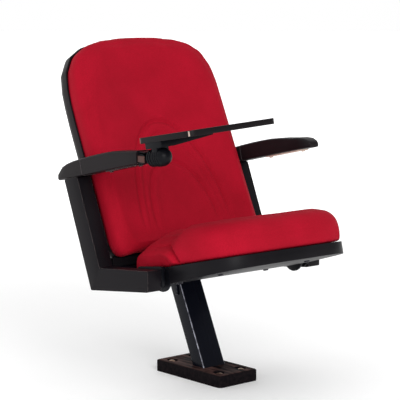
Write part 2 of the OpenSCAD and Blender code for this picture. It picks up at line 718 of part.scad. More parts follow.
// Solid of revolution about the barrel's axis, from a profile of [distance forward, radius]
module barrel(profile) {
    rotate([90, 0, 0]) rotate_extrude() polygon([for (p = profile) [p[1], p[0]]]);
}
swing_pin_r = 5;
swing_head_r = 8;
swing_head_t = 2;
tongue_w = 16;
tongue_lap = 2;
tongue_r = 11;
disc_start = barrel_r - tongue_lap;
disc_t = 5;
disc_groove = 3;
disc_count = 3;
disc_end = disc_start + disc_count * disc_t + (disc_count - 1) * disc_groove;
journal_r = 12;
nose_len = 18;
nose_start = barrel_len + disc_start - nose_len;
module knuckle_tongue() {
    color("#191a20") tablet_frame() difference() {
        union() {
            bar_x(-tongue_w / 2, tongue_w / 2, tongue_r);
            translate([-tongue_w / 2, -disc_start - over, -tongue_r + side_gap])
                cube([tongue_w, disc_start + over, 2 * (tongue_r - side_gap)]);
            barrel([[disc_start, 0], [disc_end, 0], [disc_end, barrel_r - disc_groove],
                [disc_start, barrel_r - disc_groove]]);
            for (i = [0:disc_count - 1]) let (y = disc_start + i * (disc_t + disc_groove))
                barrel([[y, 0], [y + disc_t, 0], [y + disc_t, barrel_r - side_gap],
                    [y + disc_t - side_gap, barrel_r], [y + side_gap, barrel_r], [y, barrel_r - side_gap]]);
        }
        bar_x(-tongue_w, tongue_w, swing_pin_r + run_gap);
    }
}
module knuckle_journal() {
    color("#8a8c90") tablet_frame() barrel([[disc_end, 0], [nose_start, 0], [nose_start, journal_r],
        [disc_end, journal_r]]);
}
nose_steps = 8;
module knuckle_nose() {
    color("#191a20") tablet_frame() barrel(concat([[nose_start, 0]],
        [for (i = [0:nose_steps]) let (a = 90 * i / nose_steps)
            [nose_start + nose_len * sin(a), i == nose_steps ? 0 : barrel_r * cos(a)]]));
}
ear_gap = 1;
ear_t = 9;
ear_r = 12;
ear_x = tongue_w / 2 + ear_gap;
post_t = 4;
post_low = 14;
post_high = 18;
canopy_t = 3;
canopy_reach = 12;
module tablet_housing() {
    half = ear_x + ear_t;
    post_y = rest_cut_y - swing_y - post_t;
    color("#3b302c") translate([-rest_x, swing_y, swing_z]) {
        difference() {
            for (sx = [-1, 1]) scale([sx, 1, 1]) {
                bar_x(ear_x, half, ear_r);
                translate([ear_x, 0, -ear_r]) cube([ear_t, post_y + over, 2 * ear_r]);
            }
            bar_x(-half - over, half + over, swing_pin_r + run_gap);
        }
        translate([-half, post_y, -post_low]) cube([2 * half, post_t, post_low + post_high]);
        translate([-half, -canopy_reach, post_high - canopy_t])
            cube([2 * half, post_y + canopy_reach + over, canopy_t]);
    }
}
module swing_pin() {
    reach = ear_x + ear_t;
    color("#8a8c90") translate([-rest_x, swing_y, swing_z]) {
        bar_x(-reach - swing_head_t, reach + swing_head_t, swing_pin_r);
        for (x = [-reach - swing_head_t, reach]) bar_x(x, x + swing_head_t, swing_head_r);
    }
}
tablet_out = 22;
tablet_back = 9;
arm_plate_t = 15;
arm_plate_tip_t = 3;
arm_plate_len = 152;
arm_plate_tip_w = 46;
post_half = 19;
// Frame on the tablet's underside, canted toward the sitter
module tablet_plane() {
    translate([0, 0, tablet_lift]) rotate([0, -tablet_cant, 0]) children();
}
module tablet_bracket() {
    y0 = disc_end + side_gap;
    y1 = nose_start - side_gap;
    plate_y = disc_start + barrel_len;
    color("#191a20") tablet_frame() {
        difference() {
            union() {
                barrel([[y0, 0], [y1, 0], [y1, barrel_r], [y0, barrel_r]]);
                translate([-post_half, -y1, 0]) cube([2 * post_half, y1 - y0, tablet_lift - arm_plate_t / 2]);
            }
            barrel([[y0 - over, 0], [y1 + over, 0], [y1 + over, journal_r + run_gap],
                [y0 - over, journal_r + run_gap]]);
        }
        tablet_plane() intersection() {
            rotate([90, 0, 0]) linear_extrude(2 * plate_y, center = true) polygon([[-tablet_out, 0],
                [-tablet_out, -arm_plate_t], [barrel_r, -arm_plate_t], [arm_plate_len, -arm_plate_tip_t],
                [arm_plate_len, 0]]);
            translate([0, 0, -tablet_lift]) linear_extrude(2 * tablet_lift) polygon(rounded([
                [-tablet_out + over, -disc_start], [-tablet_out + over, -plate_y], [barrel_r, -plate_y],
                [arm_plate_len, -plate_y + over], [arm_plate_len, arm_plate_tip_w - plate_y],
                [barrel_r, -disc_start]], swing_head_t));
        }
    }
}
module tablet_board() {
    color("#2b2a2c") tablet_frame() tablet_plane()
        translate([-tablet_out + tablet_w / 2, tablet_back - tablet_d / 2, 0])
            linear_extrude(tablet_t) round_rect(tablet_w, tablet_d, tablet_corner_r);
}

base_foot();
leg_post();
leg_saddle();
cross_beam();
beam_flange("left");  // left_beam_flange
beam_flange("right");  // right_beam_flange
arm_support("left");  // left_arm_support
arm_support("right");  // right_arm_support
pivot_housing("left");  // left_pivot_housing
pivot_housing("right");  // right_pivot_housing
pivot_pin("left");  // left_pivot_pin
pivot_pin("right");  // right_pivot_pin
stop_pin("left");  // left_stop_pin
stop_pin("right");  // right_stop_pin
armrest("left");  // left_armrest
armrest("right");  // right_armrest
arm_strip("left");  // left_arm_strip
arm_strip("right");  // right_arm_strip
back_strap("left");  // left_back_strap
back_strap("right");  // right_back_strap
back_apron();
back_shell();
back_board();
back_cushion();
seat_pan();
seat_board();
seat_cushion();
hinge_plate("left");  // left_hinge_plate
hinge_plate("right");  // right_hinge_plate
tablet_housing();
swing_pin();
knuckle_tongue();
knuckle_journal();
knuckle_nose();
tablet_bracket();
tablet_board();
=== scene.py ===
import logging
import math
from dataclasses import dataclass
from enum import Enum
from functools import partial
from typing import Callable

import bmesh
import bpy
import numpy as np
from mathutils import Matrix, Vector
from mathutils.bvhtree import BVHTree


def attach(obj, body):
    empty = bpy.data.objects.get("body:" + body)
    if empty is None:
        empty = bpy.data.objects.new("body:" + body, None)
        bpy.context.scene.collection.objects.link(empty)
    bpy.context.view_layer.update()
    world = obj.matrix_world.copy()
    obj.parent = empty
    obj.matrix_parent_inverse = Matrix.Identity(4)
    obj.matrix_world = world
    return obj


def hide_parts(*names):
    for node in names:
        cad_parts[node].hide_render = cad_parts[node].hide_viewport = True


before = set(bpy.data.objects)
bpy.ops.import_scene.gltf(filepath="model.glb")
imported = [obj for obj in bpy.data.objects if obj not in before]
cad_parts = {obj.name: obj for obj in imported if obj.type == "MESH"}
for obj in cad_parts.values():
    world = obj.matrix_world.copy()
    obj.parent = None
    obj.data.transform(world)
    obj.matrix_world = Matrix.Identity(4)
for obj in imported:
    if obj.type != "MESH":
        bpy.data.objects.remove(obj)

Colour = tuple[float, float, float, float]
Triple = tuple[float, float, float]
Span = tuple[float, float]
Mesh = bpy.types.Mesh
Node = bpy.types.Node
Adder = Callable[..., Node]
Piece = bpy.types.Object
Socket = bpy.types.NodeSocket
Tree = bpy.types.NodeTree

LOG = logging.getLogger("auditorium_seat")
MM = 0.001
# How many bands Blender's wave texture draws in one unit of its scale
BANDS = 3.2
# Blender's Mix node repeats the names of its sockets, so its colour sockets go by number
SHARE, FIRST, SECOND, MIXED = 0, 6, 7, 2
# Corners of a CAD mesh that lie nearer than this are one corner
WELD_MM = 0.02


class Axis(Enum):
    """An axis of the seat: across it, toward its rear, and up."""

    X = "X"
    Y = "Y"
    Z = "Z"


class Side(Enum):
    """A side of the seat, named as its nodes are."""

    LEFT = "left"
    RIGHT = "right"


def linear(srgb: str) -> Colour:
    """Turns an sRGB hex colour into a linear one.

    Args:
        srgb: Six hex digits, such as "a31126".

    Returns:
        Linear red, green, blue and an alpha of one.
    """
    parts = [int(srgb[i : i + 2], 16) / 255 for i in (0, 2, 4)]
    red, green, blue = [c / 12.92 if c <= 0.04045 else ((c + 0.055) / 1.055) ** 2.4 for c in parts]
    return (red, green, blue, 1.0)


def add_node(
    tree: Tree, kind: str, inputs: dict[str | int, object] | None = None, **settings: object
) -> Node:
    """Adds a shader node with its settings, values and links.

    Args:
        tree: Node tree that the node goes into.
        kind: Blender's type name without its "ShaderNode" prefix.
        inputs: For each named or numbered input its value, the socket to link from, or a node for its first.
        settings: Properties of the node itself.

    Returns:
        The new node.
    """
    node = tree.nodes.new("ShaderNode" + kind)
    for name, value in settings.items():
        setattr(node, name, value)
    for name, value in (inputs or {}).items():
        if isinstance(value, Node):
            value = value.outputs[0]
        if isinstance(value, Socket):
            tree.links.new(value, node.inputs[name])
        else:
            node.inputs[name].default_value = value
    return node


def fresh_tree(owner: bpy.types.Material | bpy.types.World) -> Adder:
    """Empties the node tree of a material or of the world.

    Args:
        owner: The material or the world.

    Returns:
        What adds a node to its tree.
    """
    owner.use_nodes = True
    owner.node_tree.nodes.clear()
    return partial(add_node, owner.node_tree)


def set_ramp(node: Node, *stops: tuple[float, str]) -> Node:
    """Sets the stops of a colour ramp.

    Args:
        node: The ramp.
        stops: Position and sRGB hex colour of each stop, lowest first.

    Returns:
        The same node.
    """
    elements = node.color_ramp.elements
    while len(elements) < len(stops):
        elements.new(1.0)
    for element, (place, colour) in zip(elements, stops):
        element.position = place
        element.color = linear(colour)
    return node


def normal_along(add: Adder, axis: Axis) -> Socket:
    """Gives the socket that says how far a surface looks along an axis of the seat, from -1 to 1."""
    return add("SeparateXYZ", {0: add("NewGeometry").outputs["Normal"]}).outputs[axis.value]


@dataclass(frozen=True)
class Finish:
    """Base of every finish: its name and how it is made into a material."""

    name: str

    def material(self) -> bpy.types.Material:
        """Finds this finish's material, or makes it on its first use.

        Returns:
            The material.
        """
        found = bpy.data.materials.get(self.name)
        if found:
            return found
        made = bpy.data.materials.new(self.name)
        add = fresh_tree(made)
        place = add("Mapping", {"Vector": add("TexCoord").outputs["Object"], "Scale": Vector((1, 1, 1)) / MM})
        add("OutputMaterial", {"Surface": self.shade(add, place.outputs[0])})
        return made

    def shade(self, add: Adder, place: Socket) -> Node:
        """Builds the shader with the node adder and the surface's place in millimetres."""
        raise NotImplementedError


@dataclass(frozen=True)
class WovenPolyester(Finish):
    """Dense woven polyester upholstery, piece dyed: a dull, even red with a soft sheen at grazing angles."""

    face: str = "9c0820"
    deep: str = "92061c"
    light: str = "a60a24"
    # Thread spacing is near 0.6 mm and can't show, so it is drawn at twice that
    thread_mm: float = 1.3
    slub_mm: float = 2.38
    mottle_mm: float = 111.0
    lean_deg: float = 24.0

    def shade(self, add: Adder, place: Socket) -> Node:
        """Weaves two thread directions in the pad's own plane and mottles the dye.

        Args:
            add: Adds a node to the material's tree.
            place: Object coordinates, in millimetres.

        Returns:
            The fabric's shader.
        """
        cloth = add("Mapping", {"Vector": place, "Rotation": (math.radians(self.lean_deg), 0, 0)})
        threads = {"Vector": cloth, "Scale": 1 / (self.thread_mm * BANDS), "Distortion": 0.6}
        warp, weft = [
            add("TexWave", threads, bands_direction=axis.value).outputs["Fac"] for axis in (Axis.X, Axis.Z)]
        weave = add("Math", {0: warp, 1: weft}, operation="MAXIMUM")
        mottle = add("TexNoise", {"Vector": cloth, "Scale": 1 / self.mottle_mm, "Detail": 3.0})
        slub = add("TexNoise", {"Vector": cloth, "Scale": 1 / self.slub_mm, "Detail": 2.0})
        dye = add("Math", {0: add("Math", {0: mottle, 1: slub}), 1: 2.0}, operation="DIVIDE")
        tone = set_ramp(
            add("ValToRGB", {"Fac": dye}), (0.36, self.deep), (0.5, self.face), (0.64, self.light))
        bump = add("Bump", {"Height": weave, "Strength": 0.12, "Distance": 0.0003})
        fuzz = add("Bump", {"Height": slub, "Strength": 0.15, "Distance": 0.0004, "Normal": bump})
        return add("BsdfPrincipled", {
            "Base Color": tone, "Roughness": 0.8, "IOR": 1.45, "Specular IOR Level": 0.12,
            "Sheen Weight": 0.04, "Sheen Roughness": 0.4, "Sheen Tint": linear("ff3a50"), "Normal": fuzz})


@dataclass(frozen=True)
class MouldedPolypropylene(Finish):
    """Injection-moulded polypropylene: charcoal, with a fine spark-eroded grain that blurs its highlights."""

    face: str = "1c191b"
    rubbed: str = "242023"
    roughness: float = 0.46
    gloss_spread: float = 0.06
    grain_mm: float = 0.9
    cloud_mm: float = 111.0

    def shade(self, add: Adder, place: Socket) -> Node:
        """Grains the surface and lets wide areas vary a little in tone and gloss.

        Args:
            add: Adds a node to the material's tree.
            place: Object coordinates, in millimetres.

        Returns:
            The plastic's shader.
        """
        grain = add("TexVoronoi", {"Vector": place, "Scale": 1 / self.grain_mm}, feature="SMOOTH_F1")
        cloud = add("TexNoise", {"Vector": place, "Scale": 1 / self.cloud_mm, "Detail": 4.0})
        tone = set_ramp(add("ValToRGB", {"Fac": cloud}), (0.35, self.face), (0.75, self.rubbed))
        gloss = add("MapRange", {
            "Value": cloud, "From Min": 0.3, "From Max": 0.7, "To Min": self.roughness - self.gloss_spread,
            "To Max": self.roughness + self.gloss_spread})
        bump = add("Bump", {"Height": grain, "Strength": 0.1, "Distance": 0.0002})
        return add("BsdfPrincipled", {
            "Base Color": tone, "Roughness": gloss, "IOR": 1.49, "Specular IOR Level": 0.1, "Normal": bump})


@dataclass(frozen=True)
class PowderCoatedSteel(Finish):
    """Steel under polyester powder coat: satin, with the faint orange peel that the powder leaves."""

    face: str = "0a0c15"
    # The edge colour is a painted highlight along the arrises
    edge: str = "a4a5b2"
    roughness: float = 0.24
    peel_mm: float = 2.2
    # Size of the patches that the painted highlight is broken into
    wear_mm: float = 16.7

    def shade(self, add: Adder, place: Socket) -> Node:
        """Adds orange peel and a painted highlight along the arrises of the coat, broken into patches.

        Args:
            add: Adds a node to the material's tree.
            place: Object coordinates, in millimetres.

        Returns:
            The coat's shader.
        """
        peel = add("TexNoise", {"Vector": place, "Scale": 1 / self.peel_mm, "Detail": 1.5})
        cloud = add("TexNoise", {"Vector": place, "Scale": 1 / self.wear_mm, "Detail": 6.0})
        wear = add("MapRange", {"Value": cloud, "From Min": 0.3, "From Max": 0.55})
        across = normal_along(add, Axis.X)
        # Zero on faces that look along X or at right angles to it, and 0.25 on the arris between them
        square = add("Math", {0: across, 1: across}, operation="MULTIPLY")
        rest = add("Math", {0: 1.0, 1: square}, operation="SUBTRACT")
        arris = add("Math", {0: square, 1: rest}, operation="MULTIPLY")
        # Painted highlight: the arrises take the pale edge colour, in patches
        rubbed = add("MapRange", {"Value": arris, "From Min": 0.17, "From Max": 0.235})
        worn = add("Math", {0: rubbed, 1: wear}, operation="MULTIPLY")
        face, edge = linear(self.face), linear(self.edge)
        tone = add("Mix", {SHARE: worn, FIRST: face, SECOND: edge}, data_type="RGBA")
        bump = add("Bump", {"Height": peel, "Strength": 0.06, "Distance": 0.0003})
        return add("BsdfPrincipled", {
            "Base Color": tone.outputs[MIXED], "Roughness": self.roughness, "IOR": 1.5,
            "Specular IOR Level": 0.11, "Coat Weight": 0.03, "Coat Roughness": 0.1, "Normal": bump})


@dataclass(frozen=True)
class PaintedCastIron(Finish):
    """Sand-cast iron under brown-black enamel: a low gloss, with a brown sheen painted in streaks on its top.
    """

    face: str = "0e0c0f"
    bronze: str = "1d1719"
    # Colour of the sheen painted on the faces that look upward
    scuff: str = "5c4440"
    roughness: float = 0.3
    casting_mm: float = 7.0
    # A painted sheen streak's width, and how many times as long it is along the seat
    scuff_mm: float = 22.0
    scuff_stretch: float = 5.0

    def shade(self, add: Adder, place: Socket) -> Node:
        """Lays enamel over the casting's uneven skin and paints a streaky brown sheen on upward faces.

        Args:
            add: Adds a node to the material's tree.
            place: Object coordinates, in millimetres.

        Returns:
            The enamel's shader.
        """
        skin = add("TexNoise", {"Vector": place, "Scale": 1 / self.casting_mm, "Detail": 4.0})
        tone = set_ramp(add("ValToRGB", {"Fac": skin}), (0.35, self.face), (0.75, self.bronze))
        # Painted sheen: faces that look upward are lightened to the sheen colour in long streaks
        along = add("Mapping", {"Vector": place, "Scale": (1.0, 1 / self.scuff_stretch, 1.0)})
        streaks = add("TexNoise", {"Vector": along, "Scale": 1 / self.scuff_mm, "Detail": 5.0})
        rubbed = add("MapRange", {"Value": streaks, "From Min": 0.36, "From Max": 0.62})
        upward = add("MapRange", {"Value": normal_along(add, Axis.Z), "From Min": 0.7, "From Max": 0.95})
        scuffed = add("Math", {0: rubbed, 1: upward}, operation="MULTIPLY")
        worn = add("Mix", {SHARE: scuffed, FIRST: tone, SECOND: linear(self.scuff)}, data_type="RGBA")
        bump = add("Bump", {"Height": skin, "Strength": 0.12, "Distance": 0.0008})
        return add("BsdfPrincipled", {
            "Base Color": worn.outputs[MIXED], "Roughness": self.roughness, "IOR": 1.52,
            "Specular IOR Level": 0.0, "Coat Weight": 0.05, "Coat Roughness": 0.14, "Normal": bump})


@dataclass(frozen=True)
class PlatedSteel(Finish):
    """Turned steel under a thin plating or oxide: grey, yellow or black, with fine turning marks."""

    face: str = "9a9ca0"
    roughness: float = 0.32
    turning_mm: float = 0.5
    cloud_mm: float = 11.1

    def shade(self, add: Adder, place: Socket) -> Node:
        """Adds turning marks and the clouding of the plating.

        Args:
            add: Adds a node to the material's tree.
            place: Object coordinates, in millimetres.

        Returns:
            The metal's shader.
        """
        marks = add("TexNoise", {"Vector": place, "Scale": 1 / self.turning_mm, "Detail": 2.0})
        cloud = add("TexNoise", {"Vector": place, "Scale": 1 / self.cloud_mm, "Detail": 3.0})
        gloss = add("MapRange", {
            "Value": cloud, "To Min": self.roughness - 0.08, "To Max": self.roughness + 0.12})
        bump = add("Bump", {"Height": marks, "Strength": 0.08, "Distance": 0.0001})
        return add("BsdfPrincipled", {
            "Base Color": linear(self.face), "Metallic": 1.0, "Roughness": gloss, "Normal": bump})


@dataclass(frozen=True)
class BirchPlywood(Finish):
    """Rotary-cut birch plywood, sanded: pale faces with long grain, and an edge sealed in black."""

    facing: Axis
    face: str = "b08a58"
    ring: str = "86633a"
    sealer: str = "171314"
    grain_mm: float = 9.0
    ply_mm: float = 1.6

    def shade(self, add: Adder, place: Socket) -> Node:
        """Draws the long grain of the face and the plies, and seals the edge.

        Args:
            add: Adds a node to the material's tree.
            place: Object coordinates, in millimetres.

        Returns:
            The wood's shader.
        """
        stretched = add("Mapping", {"Vector": place, "Scale": (1.0, 0.12, 0.12)})
        grain = add("TexNoise", {"Vector": stretched, "Scale": 1 / self.grain_mm, "Detail": 6.0})
        tone = set_ramp(add("ValToRGB", {"Fac": grain}), (0.35, self.ring), (0.65, self.face))
        plies = add(
            "TexWave", {"Vector": place, "Scale": 1 / (self.ply_mm * BANDS)}, bands_direction=Axis.Z.value)
        across = add("Math", {0: normal_along(add, self.facing)}, operation="ABSOLUTE")
        bare = add("MapRange", {"Value": across, "From Min": 0.55, "From Max": 0.75})
        sealed = add("Mix", {SHARE: bare, FIRST: linear(self.sealer), SECOND: tone}, data_type="RGBA")
        bump = add("Bump", {"Height": plies.outputs["Fac"], "Strength": 0.1, "Distance": 0.0002})
        return add("BsdfPrincipled", {
            "Base Color": sealed.outputs[MIXED], "Roughness": 0.6, "IOR": 1.45, "Normal": bump})


@dataclass(frozen=True)
class PressedLaminate(Finish):
    """High-pressure laminate on board: charcoal, its pressed texture giving a soft, even satin."""

    face: str = "110e10"
    fleck: str = "181416"
    roughness: float = 0.42
    texture_mm: float = 1.4

    def shade(self, add: Adder, place: Socket) -> Node:
        """Presses a fine texture into an even face.

        Args:
            add: Adds a node to the material's tree.
            place: Object coordinates, in millimetres.

        Returns:
            The laminate's shader.
        """
        press = add("TexNoise", {"Vector": place, "Scale": 1 / self.texture_mm, "Detail": 3.0})
        tone = set_ramp(add("ValToRGB", {"Fac": press}), (0.4, self.face), (0.7, self.fleck))
        bump = add("Bump", {"Height": press, "Strength": 0.1, "Distance": 0.0002})
        return add("BsdfPrincipled", {
            "Base Color": tone, "Roughness": self.roughness, "IOR": 1.5, "Specular IOR Level": 0.1,
            "Normal": bump})


UPHOLSTERY_BACK = WovenPolyester("red_woven_polyester_back")
UPHOLSTERY_SEAT = WovenPolyester("red_woven_polyester_seat", lean_deg=-76.8)
SUPPORT_PLASTIC = MouldedPolypropylene("charcoal_moulded_polypropylene", "100d11", "161317")
# Painted highlight for the arm supports' arrises
RUBBED_PLASTIC = MouldedPolypropylene("rubbed_charcoal_polypropylene", "8f8280", "a89a96", roughness=0.34)
# The armrests' joint bead is painted pale, as a highlight
JOINT_PLASTIC = MouldedPolypropylene("paled_polypropylene_joint", "4e474a", "5e5659", roughness=0.4)
SATIN_PLASTIC = MouldedPolypropylene("satin_moulded_polypropylene", "181416", "1f1a1d", roughness=0.42)
SHELL_PLASTIC = MouldedPolypropylene("black_moulded_polypropylene", "0e0d10", "151317", roughness=0.42)
HINGE_PLASTIC = MouldedPolypropylene("black_moulded_nylon", "08090d", "0f1015", roughness=0.38)
COVER_PLASTIC = MouldedPolypropylene("brown_moulded_nylon", "4e3531", "5c403b", roughness=0.42)
FRAME_COAT = PowderCoatedSteel("black_powder_coated_steel")
HINGE_COAT = PowderCoatedSteel("satin_powder_coated_steel", "14151a", "303137", roughness=0.3)
# Painted reflection: pale all over on the right strip, and the painted highlight on both strips' arrises
STRIP_COAT = PowderCoatedSteel("pale_powder_coated_steel", "d8c4b6", "eaddd2", roughness=0.34)
BASE_ENAMEL = PaintedCastIron("brown_black_enamelled_cast_iron")
ZINC = PlatedSteel("zinc_plated_turned_steel")
BLACK_OXIDE = PlatedSteel("black_oxidised_turned_steel", "35343a", roughness=0.4)
BRASSY = PlatedSteel("yellow_passivated_steel", "8a6c58", roughness=0.34)
SEAT_PLYWOOD = BirchPlywood("sanded_birch_plywood_seat", Axis.Z)
BACK_PLYWOOD = BirchPlywood("sanded_birch_plywood_back", Axis.Y)
LAMINATE = PressedLaminate("charcoal_pressed_laminate")
# The tablet board's arrises are painted a little paler, as a highlight
LAMINATE_EDGE = PressedLaminate("satin_laminate_edge", "1c1719", "241e20", roughness=0.34)
# Painted highlight on the tablet board's rounded corners
LAMINATE_ARRIS = PressedLaminate("pale_laminate_core", "a08c82", "c2aea2", roughness=0.3)


def coat(mesh: Mesh, *finishes: Finish) -> None:
    """Gives a mesh its finishes and smooth shading.

    Args:
        mesh: The mesh.
        finishes: One finish for each of its material slots.
    """
    mesh.materials.clear()
    for finish in finishes:
        mesh.materials.append(finish.material())
    for polygon in mesh.polygons:
        polygon.use_smooth = True


def split_edges(obj: Piece, angle_deg: float) -> None:
    """Keeps the shading crisp at edges that are sharper than an angle."""
    obj.modifiers.new("edges", "EDGE_SPLIT").split_angle = math.radians(angle_deg)


def dress(
    node: str, finish: Finish, round_mm: float = 0.0, smooth_deg: float = 35.0, arris: Finish | None = None
) -> Piece:
    """Gives a CAD node its finish, smooth shading and, where it is moulded or folded, soft arrises.

    Args:
        node: The CAD node's name.
        finish: The finish it takes.
        round_mm: Radius of its arrises, or zero for none.
        smooth_deg: Edges flatter than this are shaded smooth.
        arris: Finish of the arrises, painted paler as a highlight, or None for the same.

    Returns:
        The node's object.
    """
    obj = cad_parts[node]
    coat(obj.data, *([finish, arris] if arris else [finish]))
    obj.modifiers.new("weld", "WELD").merge_threshold = WELD_MM * MM
    if round_mm:
        bevel = obj.modifiers.new("arrises", "BEVEL")
        bevel.width = round_mm * MM
        bevel.segments = 3
        bevel.limit_method = "ANGLE"
        bevel.angle_limit = math.radians(smooth_deg)
        bevel.use_clamp_overlap = True
        bevel.material = 1 if arris else -1
    split_edges(obj, smooth_deg)
    LOG.info("dressed %s with %s", node, finish.name)
    return obj


def put_in_scene(name: str, data: bpy.types.ID) -> Piece:
    """Puts a mesh, a lamp or a camera in the scene.

    Args:
        name: The new object's name.
        data: The mesh, lamp or camera.

    Returns:
        The new object.
    """
    obj = bpy.data.objects.new(name, data)
    bpy.context.scene.collection.objects.link(obj)
    return obj


def new_piece(name: str, shape: Mesh | bmesh.types.BMesh, finish: Finish, body: str) -> Piece:
    """Puts a mesh in the scene as a piece of the object.

    Args:
        name: The piece's name.
        shape: Its mesh, or the bmesh that becomes it and is freed, in metres.
        finish: Its finish.
        body: The CAD body that it rides on.

    Returns:
        The new object.
    """
    mesh = shape
    if isinstance(shape, bmesh.types.BMesh):
        mesh = bpy.data.meshes.new(name)
        shape.to_mesh(mesh)
        shape.free()
    obj = put_in_scene(name, mesh)
    coat(mesh, finish)
    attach(obj, body)
    LOG.info("made %s, %d vertices, on body %s", name, len(mesh.vertices), body)
    return obj


def bead(ring: list[Vector], radius_mm: float) -> Mesh:
    """Makes a fine round bead that closes on itself.

    Args:
        ring: The points that it runs through, in metres.
        radius_mm: The bead's radius.

    Returns:
        The bead's mesh.
    """
    curve = bpy.data.curves.new("bead", "CURVE")
    curve.dimensions = "3D"
    curve.bevel_depth = radius_mm * MM
    curve.bevel_resolution = 2
    line = curve.splines.new("POLY")
    line.points.add(len(ring) - 1)
    for place, point in zip(line.points, ring):
        place.co = (*point, 1.0)
    line.use_cyclic_u = True
    holder = bpy.data.objects.new("bead", curve)
    mesh = bpy.data.meshes.new_from_object(holder)
    bpy.data.objects.remove(holder)
    bpy.data.curves.remove(curve)
    return mesh


def read_vectors(mesh: Mesh, field: str = "co") -> np.ndarray:
    """Reads where a mesh's vertices are, in metres, or another vector of each.

    Args:
        mesh: The mesh.
        field: Blender's name for the vector.

    Returns:
        The vectors, in a row for each vertex.
    """
    flat = np.empty(len(mesh.vertices) * 3)
    mesh.vertices.foreach_get(field, flat)
    return flat.reshape(-1, 3)


def write_points(mesh: Mesh, points: np.ndarray) -> None:
    """Writes an array back to a mesh's vertices, in metres."""
    mesh.vertices.foreach_set("co", points.ravel())
    mesh.update()


def smooth_step(value: np.ndarray, low: float, high: float) -> np.ndarray:
    """Rises from 0 at low to 1 at high with level ends."""
    t = np.clip((value - low) / (high - low), 0, 1)
    return t * t * (3 - 2 * t)


def ridge(distance: np.ndarray, half_width: float) -> np.ndarray:
    """Gives a soft ridge: 1 in its middle, about a third at its half width and 0 far from it."""
    return np.exp(-((distance / half_width) ** 2))


@dataclass(frozen=True)
class PadFrame:
    """A pad's own axes: across, along its face, and out of its face."""

    origin_mm: Triple
    lean_deg: float

    def slope(self) -> Span:
        """Returns the cosine and the sine of the lean."""
        lean = math.radians(self.lean_deg)
        return math.cos(lean), math.sin(lean)

    def local(self, points: np.ndarray) -> np.ndarray:
        """Turns points of the seat into places of the pad.

        Args:
            points: Points of the seat, in metres.

        Returns:
            How far across, to the rear and up each lies in the pad, in millimetres.
        """
        cos, sin = self.slope()
        x, y, z = (points / MM - np.array(self.origin_mm)).T
        return np.stack([x, y * cos - z * sin, y * sin + z * cos], 1)

    def world(self, points: np.ndarray) -> np.ndarray:
        """Turns places of the pad back into points of the seat.

        Args:
            points: Places of the pad, in millimetres.

        Returns:
            Where each is in the seat, in metres.
        """
        cos, sin = self.slope()
        x, y, z = points.T
        return (np.stack([x, y * cos + z * sin, -y * sin + z * cos], 1) + np.array(self.origin_mm)) * MM

    def point(self, *place_mm: float) -> Vector:
        """Turns one place of the pad, in millimetres, into a point of the seat, in metres."""
        return Vector(self.world(np.array([place_mm]))[0])


@dataclass(frozen=True)
class ArchChannel:
    """A sewn channel in the shape of an arch that opens downward."""

    half_width_mm: float
    top_mm: float
    power: float
    depth_mm: float
    half_channel_mm: float
    fade_mm: Span
    roll_mm: float = 0.0
    # How far inside the channel its roll stands, and how wide it is, in half channels
    roll_inside: float = 2.6
    roll_wide: float = 2.0

    def sink(self, x: np.ndarray, v: np.ndarray) -> np.ndarray:
        """How far the channel draws the face in.

        Args:
            x: Places across the pad, in mm.
            v: Places up the pad, in mm.

        Returns:
            Depth at each place, in mm, below zero where the roll beside it stands proud.
        """
        u = np.abs(x) / self.half_width_mm
        h = np.clip(v / self.top_mm, 1e-3, None)
        level = u**2 + h**self.power - 1
        slope = np.hypot(2 * u / self.half_width_mm, self.power * h ** (self.power - 1) / self.top_mm)
        distance = level / np.maximum(slope, 1e-6)
        half = self.half_channel_mm
        groove = self.depth_mm * ridge(distance, half)
        roll = self.roll_mm * ridge(distance + self.roll_inside * half, self.roll_wide * half)
        return (groove - roll) * smooth_step(v, *self.fade_mm)


